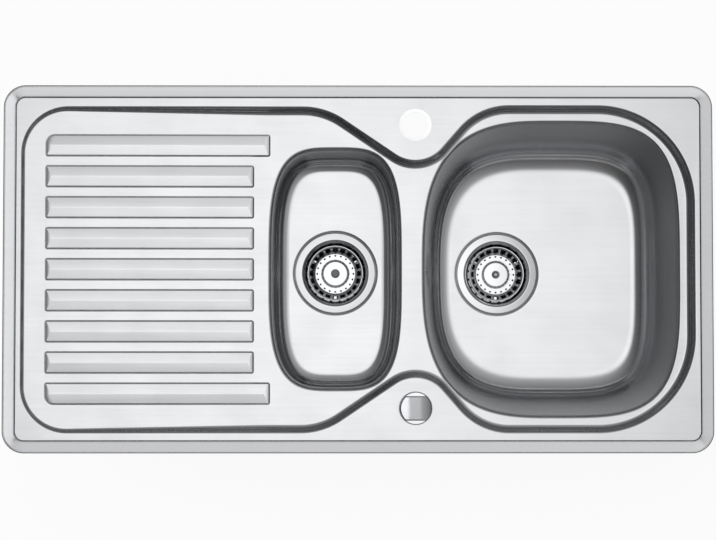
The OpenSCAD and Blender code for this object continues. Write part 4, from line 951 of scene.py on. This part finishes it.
def cup_mesh(name):
    """Flange and cup, down to the three-spoked floor that holds the centre screw."""
    skin = Skin()
    centre = SEATS[name]
    rings = [skin.hoop(centre.x, centre.y, centre.z + z, r, 96)
             for r, z in ((56.6, 0.4), (57, 0.9), *softened(CUP, 1.4, 3))]
    skin.loft(rings)
    z = centre.z + CUP[-1][1]
    holes = [skin.hoop(centre.x, centre.y, z, 4.7, 24)]
    for k in range(3):
        window = []
        # Each window's outer and inner edge, with half the spoke's width there
        for r, spoke, step in ((38.2, 1.6, 1), (9, 3, -1)):
            gap = math.asin(spoke / r)
            start, turn = math.radians(30 + 120 * k) + gap, math.radians(120) - 2 * gap
            window += arc(centre.x, centre.y, r, start, turn, 12)[::step]
        holes.append(skin.ring([(p.x, p.y, z) for p in window]))
    skin.fill(rings[-1], holes, lambda x, y: (x, y, z))
    return skin.mesh(name + "_strainer_flange", True)


def basket_mesh(s, name, tree):
    """Basket made of one slotted and one punched sector, repeated, with its raised middle."""
    count = int(s["slots"])
    rim = s["basket_diameter"] / 2
    wall = [(29.9, -20.4), (37.2, -3.2), (37.5, -1.25), (rim - 0.35, -1.12), (rim, -1.5),
            (rim, -3.4)]
    # The slotted wall: its slots keep one width while the wall widens
    skin = Skin()
    half_turn = math.pi / count
    foot, top = Vector(wall[0]), Vector(wall[1])
    run = (top - foot).length

    def on_cone(t, s_at):
        p = foot + (top - foot) * (s_at / run)
        return (p.x * math.cos(t), p.x * math.sin(t), p.y)

    def unrolled(p):
        return (math.atan2(p.y, p.x), (Vector((math.hypot(p.x, p.y), p.z)) - foot).length)

    def row(r, z):
        return skin.ring([(r * math.cos(t), r * math.sin(t), z) for t in ends])

    ends = [-half_turn + half_turn * 2 * i / 8 for i in range(9)]
    low = skin.ring([on_cone(t, 0) for t in ends])
    high = skin.ring([on_cone(t, run) for t in ends])
    sides = [[skin.ring([on_cone(t, run * i / 6)])[0] for i in range(1, 6)]
             for t in (half_turn, -half_turn)]
    slot = []
    for cx, cy, start in ((3.0, 3.7, -90), (3.0, run - 3.3, 0), (-3.0, run - 3.3, 90),
                          (-3.0, 3.7, 180)):
        for x, y in arc(cx, cy, 0.7, math.radians(start), math.pi / 2, 3):
            slot.append(on_cone(x / (foot + (top - foot) * (y / run)).x, y))
    slot = skin.ring(slot)
    skin.fill(low + sides[0] + list(reversed(high)) + list(reversed(sides[1])), [slot],
              on_cone, flat=unrolled)
    skin.loft([high] + [row(r, z) for r, z in softened(wall[1:], 0.25, 2)[1:]], False)
    # The base, with one hole below each slot, and its raised middle
    inner = softened([wall[0], (28.6, BASE_Z), (27.4, BASE_Z), (19.6, BASE_Z), (18, -19.2),
                      (17, -18.4), (3, DISC_Z)], 0.6, 2)
    rows = [row(r, z) for r, z in inner]
    flat = max(range(len(inner) - 1), key=lambda i: inner[i][0] - inner[i + 1][0]
               if inner[i][1] < -22 else 0)
    hole = skin.hoop(25.9, 0, BASE_Z, 1.5, 16)
    skin.fill(rows[flat] + list(reversed(rows[flat + 1])), [hole], lambda x, y: (x, y, BASE_Z))
    skin.loft(rows[:flat + 1], False)
    skin.loft(rows[flat + 1:], False)
    sector = skin.mesh("sector", True)
    made = grown(sector, tree, {"Count": count, "Centre": SEATS[name] / 1000, "Join": 2e-5,
                                "Material": finish("polished_steel")})
    work = bmesh.new()
    work.from_mesh(made)
    shade(work, True)
    work.to_mesh(made)
    work.free()
    made.name = name + "_basket_sieve"
    return made


class SINK_OT_strainers(bpy.types.Operator):
    """Make both strainer cups, their lift-out baskets, and what is fixed in the baskets"""

    bl_idname = "sink.strainers"
    bl_label = "Strainers and baskets"

    def execute(self, context):
        s = sizes()
        tree = repeat_tree()
        for name in ("main", "half"):
            piece(name + "_strainer_flange", cup_mesh(name), "polished_steel",
                  [name + "_strainer_cup"], THIN)
            piece(name + "_basket_sieve", basket_mesh(s, name, tree), "polished_steel",
                  [name + "_basket"], THIN)
        for name, bowl, node, slot, profile, cut, steps in (
                ("half_basket_cap", "half", "half_basket_button", "button_plastic",
                 [(0, -0.8), (6.2, -0.8), (6.2, 1), (5, 1.9), (5, 4.9), (6.2, 6), (6.2, 7.5),
                  (4.6, 8.5), (0, 8.8)], 0.7, 4),
                ("main_basket_screw_head", "main", "main_basket_screw", "screw_steel",
                 [(0, -5.5), (1.8, -5.5), (1.8, -0.4), (5.8, -0.4), (5.8, 0.6), (3.9, 1),
                  (3.5, 2.5), (2.6, 3.2), (0, 3.4)], 0.35, 3)):
            piece(name, turned(name, softened(profile, cut, steps),
                               SEATS[bowl] + Vector((0, 0, DISC_Z)), 64), slot, [node])
        return {"FINISHED"}


# Control knob


class SINK_OT_control(bpy.types.Operator):
    """Make the control's base plate and its turning knob"""

    bl_idname = "sink.control"
    bl_label = "Control knob"

    def execute(self, context):
        s = sizes()
        centre = Vector((HOLE_X, CONTROL_Y, 0))
        radius = s["knob_diameter"] / 2
        piece("control_base_plate", turned("control_base_plate", softened(
            [(5.05, -24), (16.8, -24), (16.8, 4.6), (radius, 4.6), (radius, 6.4),
             (radius - 1, 7.4), (5.05, 7.4)], 0.5, 3), centre, 96), "plated_metal",
            ["control_base"])

        skin = Skin()
        low = 7.8
        foot_z = low + 7.5
        lathe(skin, softened([(5.02, low), (radius - 0.6, low), (radius, low + 0.6),
                              (radius, low + 8), (radius - 1, low + 9), (5.02, low + 9)],
                             0.6, 3), centre, 96)
        # The grip: a bar between two arcs of the disc, its top rounded off to the right
        plan_r, half = radius - 0.5, s["grip_width"] / 2
        reach = math.asin(half / plan_r)
        plan = []
        for start in (-reach, math.pi - reach):
            plan += arc(0, 0, plan_r, start, 2 * reach, 24)
            side = 1 if start < 0 else -1
            plan += [Vector((side * plan_r * math.cos(reach) * (1 - 2 * i / 20), side * half))
                     for i in range(1, 20)]
        top_z = low + s["knob_height"]

        def top(x):
            return top_z - 0.09 * max(0, x + 10) - 0.019 * max(0, x - 6) ** 2

        rows = []
        for u, drop in ((0, None), (0, 3), (0.12, 1.5), (0.45, 0.68), (0.95, 0.22), (1.6, 0.02),
                        (2.2, 0)):
            ring = inset(plan, [u] * len(plan))
            rows.append(skin.ring([(centre.x + p.x, centre.y + p.y,
                                    foot_z if drop is None else top(p.x) - drop)
                                   for p in ring]))
        skin.loft(rows)
        extra = [(centre.x + x * 2.2, centre.y + y) for x in range(-8, 9)
                 for y in (-9, -4.5, 0, 4.5, 9)]
        skin.fill(rows[-1], [], lambda x, y: (x, y, top(x - centre.x)), extra=extra)
        skin.fill(rows[0], [], lambda x, y: (x, y, foot_z))
        piece("control_knob_grip", skin.mesh("control_knob_grip", False), "plated_metal",
              ["control_knob"])
        return {"FINISHED"}


# Hose and cable


def hose_path(s):
    """Points of the overflow hose, from the elbow down beside the bowl and to the waste."""
    origin, down, _, out = overflow_frame(s)
    at = origin - out * 16
    a, b = at + down * 26, at + down * 52
    end = Vector((MAIN_WASTE - WASTE_R - 5, 0, SEATS["main"].z - 25))
    turn = 34.0  # radius of the bend
    low = Vector((b.x + 4, 0, end.z + turn))
    points = [a + (b - a) * i / 6 for i in range(6)]
    for i in range(12):
        t = i / 12
        points.append(Vector((b.x + 4 * t * t * (3 - 2 * t), 0, b.z + (low.z - b.z) * t)))
    points += [Vector((p.x, 0, p.y))
               for p in arc(low.x + turn, low.z, turn, math.pi, math.pi / 2, 24)]
    points += [Vector((low.x + turn + (end.x - low.x - turn) * i / 6, 0, end.z))
               for i in range(1, 7)]
    return points


def cable_path():
    """Points of the pull cable, from the control's housing to its stop at the waste."""
    start, end = Vector((HOLE_X, -149, -38.5)), Vector((MAIN_WASTE - 40, -45.5, -214.4))

    def on_way(x, y, share):
        return Vector((x, y, start.z + (end.z - start.z) * share))

    route = [start, start + Vector((0, 12, 0)), on_way(77, -114, 0.037), on_way(77, -98, 0.1),
             on_way(77, -88, 0.213), on_way(77, -82, 0.361), on_way(77, -78, 0.52),
             on_way(79, -73, 0.668), on_way(85, -66, 0.804), on_way(97, -58, 0.9125),
             on_way(114, -51, 0.975), end - Vector((22, 0, 0)), end]
    points = []
    for i in range(len(route) - 1):
        a, b, c = route[max(i - 1, 0)], route[i], route[i + 1]
        d = route[min(i + 2, len(route) - 1)]
        for k in range(8):
            t = k / 8
            points.append(0.5 * (2 * b + (c - a) * t + (2 * a - 5 * b + 4 * c - d) * t * t
                                 + (3 * b - a - 3 * c + d) * t**3))
    return points + [end]


def line_mesh(points):
    mesh = bpy.data.meshes.new("path")
    mesh.from_pydata([p / 1000 for p in points], [(i, i + 1) for i in range(len(points) - 1)],
                     [])
    return mesh


class SINK_OT_hose(bpy.types.Operator):
    """Make the ribbed overflow hose and the pull cable"""

    bl_idname = "sink.hose"
    bl_label = "Hose and cable"

    def execute(self, context):
        s = sizes()
        for ribbed, name, node, slot, path, wide, rib, pitch in (
                (True, "overflow_hose_ribbed", "overflow_hose", "hose_plastic", hose_path(s),
                 s["hose_diameter"], 1.2, s["hose_pitch"]),
                (False, "pull_cable_sheath", "pull_cable", "black_rubber", cable_path(),
                 s["cable_diameter"], 0, 10)):
            mesh = grown(line_mesh(path), tube_tree(ribbed), {
                "Radius": wide / 2000, "Rib": rib / 1000, "Pitch": pitch / 1000,
                "Material": finish(slot)})
            piece(name, mesh, slot, [node], weighted=False)
        return {"FINISHED"}


# Small and hidden pieces keep the CAD shape and get broken edges

EDGED = {
    "damping_pad": (["main_sound_pad", "half_sound_pads"], 0.8),
    "foam": (["rim_gasket"], 0.6),
    "zinc_steel": (["clip_rails", "clip_brackets", "clip_screws", "lift_rocker", "hose_clips",
                    "control_lock_nut", "control_spindle", "cable_ferrule"], 0.3),
    "dark_plastic": (["clip_pads", "main_waste_body", "half_waste_body", "overflow_elbow"], 0.5),
    "black_rubber": (["main_flange_gasket", "main_body_seal", "main_basket_seal",
                      "half_flange_gasket", "half_body_seal", "half_basket_seal",
                      "overflow_gasket", "control_base_seal"], 0.3),
    "screw_steel": (["main_hollow_screw", "main_basket_stem", "main_lift_pin",
                     "half_hollow_screw", "half_basket_stem", "overflow_screw",
                     "knob_grub_screw", "cover_screws", "pull_wire"], 0.2),
    "grey_plastic": (["rocker_gland_nut", "control_housing", "housing_cover"], 0.6),
    "pale_plastic": (["control_slider"], 0.3),
    "fibre": (["control_washer"], 0.2),
}


class SINK_OT_fittings(bpy.types.Operator):
    """Give the fixings, seals, waste bodies and drive pieces broken edges and their finishes"""

    bl_idname = "sink.fittings"
    bl_label = "Fittings"

    def execute(self, context):
        edge = sizes()["edge"] / EDGE
        for slot, (nodes, width) in EDGED.items():
            for node in nodes:
                work = bmesh.new()
                work.from_mesh(frame["nodes"][node].data)
                bmesh.ops.remove_doubles(work, verts=work.verts, dist=2e-6)
                bmesh.ops.dissolve_limit(work, angle_limit=math.radians(0.4), verts=work.verts,
                                         edges=work.edges)
                for face in work.faces:
                    face.smooth = True
                mesh = bpy.data.meshes.new(node + "_finished")
                work.to_mesh(mesh)
                work.free()
                for extra in ("custom_normal", "UVMap"):
                    if extra in mesh.attributes:
                        mesh.attributes.remove(mesh.attributes[extra])
                piece(node + "_finished", mesh, slot, [node], edge=width * edge)
        return {"FINISHED"}


# Stage


class SINK_OT_stage(bpy.types.Operator):
    """Set up the floor, the soft studio light and the camera above the sink"""

    bl_idname = "sink.stage"
    bl_label = "Stage"

    def execute(self, context):
        scene = context.scene
        scene.view_settings.view_transform = "Standard"

        floor_z = CAD_BOX[0][2] - 0.004
        mesh = bpy.data.meshes.new("floor")
        mesh.from_pydata([(x, y, floor_z) for x, y in ((-8, -8), (8, -8), (8, 8), (-8, 8))], [],
                         [(0, 1, 2, 3)])
        floor = placed("floor", mesh)
        # Plain pale floor: white to the camera with a faint shadow, and dim to the metal
        material, tree = new_material("Pale floor")
        tone = blend(tree, add(tree, "ShaderNodeTexNoise", {"Scale": 2.0}), [0.88] * 3, [0.9] * 3)
        plain = add(tree, "ShaderNodeBsdfDiffuse", {"Color": tone})
        white, dim = (add(tree, "ShaderNodeEmission", {"Color": (1, 1, 1, 1), "Strength": level})
                      for level in (1.0, 0.06))
        ray = add(tree, "ShaderNodeLightPath").outputs
        seen = maths(tree, "MULTIPLY", ray["Is Camera Ray"], 0.92)
        both = mixed(tree, ray["Is Glossy Ray"], mixed(tree, seen, plain, white), dim)
        add(tree, "ShaderNodeOutputMaterial", {"Surface": both})
        mesh.materials.append(material)

        # A bright ceiling panel in a darker room: flats turn white, slopes turn grey
        world = bpy.data.worlds.new("Studio")
        world.use_nodes = True
        tree = world.node_tree
        tree.nodes.clear()
        way = add(tree, "ShaderNodeTexCoord").outputs["Generated"]

        def nearness(x, y):
            """Cosine of the angle to a direction that leans by x and y."""
            return vectors(tree, "DOT_PRODUCT", way,
                           Vector((x, y, 1)).normalized()).outputs["Value"]

        turn = maths(tree, "DIVIDE", maths(tree, "ARCCOSINE", nearness(-0.026, 0.026)),
                     math.pi / 2)

        def levels(stops):
            """Brightness by the angle from the panel's middle, in degrees."""
            ramp = add(tree, "ShaderNodeValToRGB", {"Fac": turn})
            while len(ramp.color_ramp.elements) < len(stops):
                ramp.color_ramp.elements.new(0.5)
            for element, (at, level) in zip(ramp.color_ramp.elements, stops):
                element.position = at / 90
                element.color = (level, level, level, 1)
            return ramp

        # The panel is brightest in its middle
        fade = ranged(tree, nearness(-0.017, 0.046), math.cos(math.radians(16)), 1.0, 0.45, 1.79)
        top = maths(tree, "MULTIPLY", levels(((0, 1.0), (12.5, 0.97), (15.5, 0))), fade)
        room = levels(((12.5, 0), (15.5, 0.47), (25, 0.35), (45, 0.27), (60, 0.2), (72, 0.08),
                       (90, 0.05)))
        # The room is brighter to the right and the back than to the left and the front
        plan = vectors(tree, "NORMALIZE", vectors(tree, "MULTIPLY", way, (1, 1, 0)))
        lean = vectors(tree, "DOT_PRODUCT", plan, (0.58, 0.32, 0)).outputs["Value"]
        total = maths(tree, "MULTIPLY_ADD", room, maths(tree, "ADD", lean, 1.0), top)
        light = add(tree, "ShaderNodeBackground", {"Strength": total})
        white = add(tree, "ShaderNodeBackground", {"Color": (1, 1, 1, 1), "Strength": 1.0})
        seen = add(tree, "ShaderNodeLightPath").outputs["Is Camera Ray"]
        add(tree, "ShaderNodeOutputWorld", {"Surface": mixed(tree, seen, light, white)})
        scene.world = world

        # Fill light for the plastics; the metal doesn't mirror it
        lamp = bpy.data.lights.new("Fill", "SUN")
        lamp.energy = 1.7
        lamp.angle = math.radians(60)
        sun = placed("Fill", lamp)
        sun.rotation_euler = (math.radians(-18), math.radians(-22), 0)
        sun.visible_glossy = False

        # Low light strips round the sink brighten its sloping rim
        for name, x, y, wide, deep, level in (
                ("left", -0.54, 0, 0.07, 0.55, 0.95), ("right", 0.54, 0, 0.07, 0.55, 0.42),
                ("back", 0, 0.31, 1.15, 0.07, 0.62), ("front", 0, -0.296, 1.15, 0.068, 0.64)):
            lamp = bpy.data.lights.new("Strip " + name, "AREA")
            lamp.shape = "RECTANGLE"
            lamp.size, lamp.size_y = wide, deep
            lamp.energy = math.pi * wide * deep * level
            strip = placed("Strip " + name, lamp)
            strip.location = (x, y, 0.06)
            strip.visible_camera = False

        lens = bpy.data.cameras.new("Camera")
        lens.lens = 118.58
        lens.sensor_width = 36.0
        lens.clip_end = 40.0
        camera = placed("Camera", lens)
        place = Vector((-0.0245, -0.1465, 3.2))
        aim = Vector((-0.0005, -0.0018, 0.0038)) - place
        # The camera looks down with the back of the sink at the top of the picture
        back = -aim.normalized()
        right = Vector((0, 1, 0)).cross(back).normalized()
        turn = Matrix((right, back.cross(right), back)).transposed().to_4x4()
        camera.matrix_world = Matrix.Translation(place) @ turn
        scene.camera = camera
        return {"FINISHED"}


class SINK_PT_panel(bpy.types.Panel):
    """The sink's operators, sizes and colours"""

    bl_idname = "SINK_PT_panel"
    bl_label = "Inset Kitchen Sink"
    bl_space_type = "VIEW_3D"
    bl_region_type = "UI"
    bl_category = "Sink"

    def draw(self, context):
        layout = self.layout
        for operator in OPERATORS:
            layout.operator(operator.bl_idname)
        for group in (context.scene.sink_sizes, context.scene.sink_colours):
            box = layout.box()
            for key in type(group).__annotations__:
                box.prop(group, key)


OPERATORS = (SINK_OT_deck, SINK_OT_bowls, SINK_OT_strainers, SINK_OT_control, SINK_OT_hose,
             SINK_OT_fittings, SINK_OT_stage)
CLASSES = (SinkSizes, SinkColours, *OPERATORS, SINK_PT_panel)


def register():
    for cls in CLASSES:
        bpy.utils.register_class(cls)
    bpy.types.Scene.sink_sizes = PointerProperty(type=SinkSizes)
    bpy.types.Scene.sink_colours = PointerProperty(type=SinkColours)


def unregister():
    del bpy.types.Scene.sink_colours
    del bpy.types.Scene.sink_sizes
    for cls in reversed(CLASSES):
        bpy.utils.unregister_class(cls)


def main():
    register()
    bpy.ops.sink.deck()
    bpy.ops.sink.bowls()
    bpy.ops.sink.strainers()
    bpy.ops.sink.control()
    bpy.ops.sink.hose()
    bpy.ops.sink.fittings()
    bpy.ops.sink.stage()


if __name__ == "__main__":
    main()
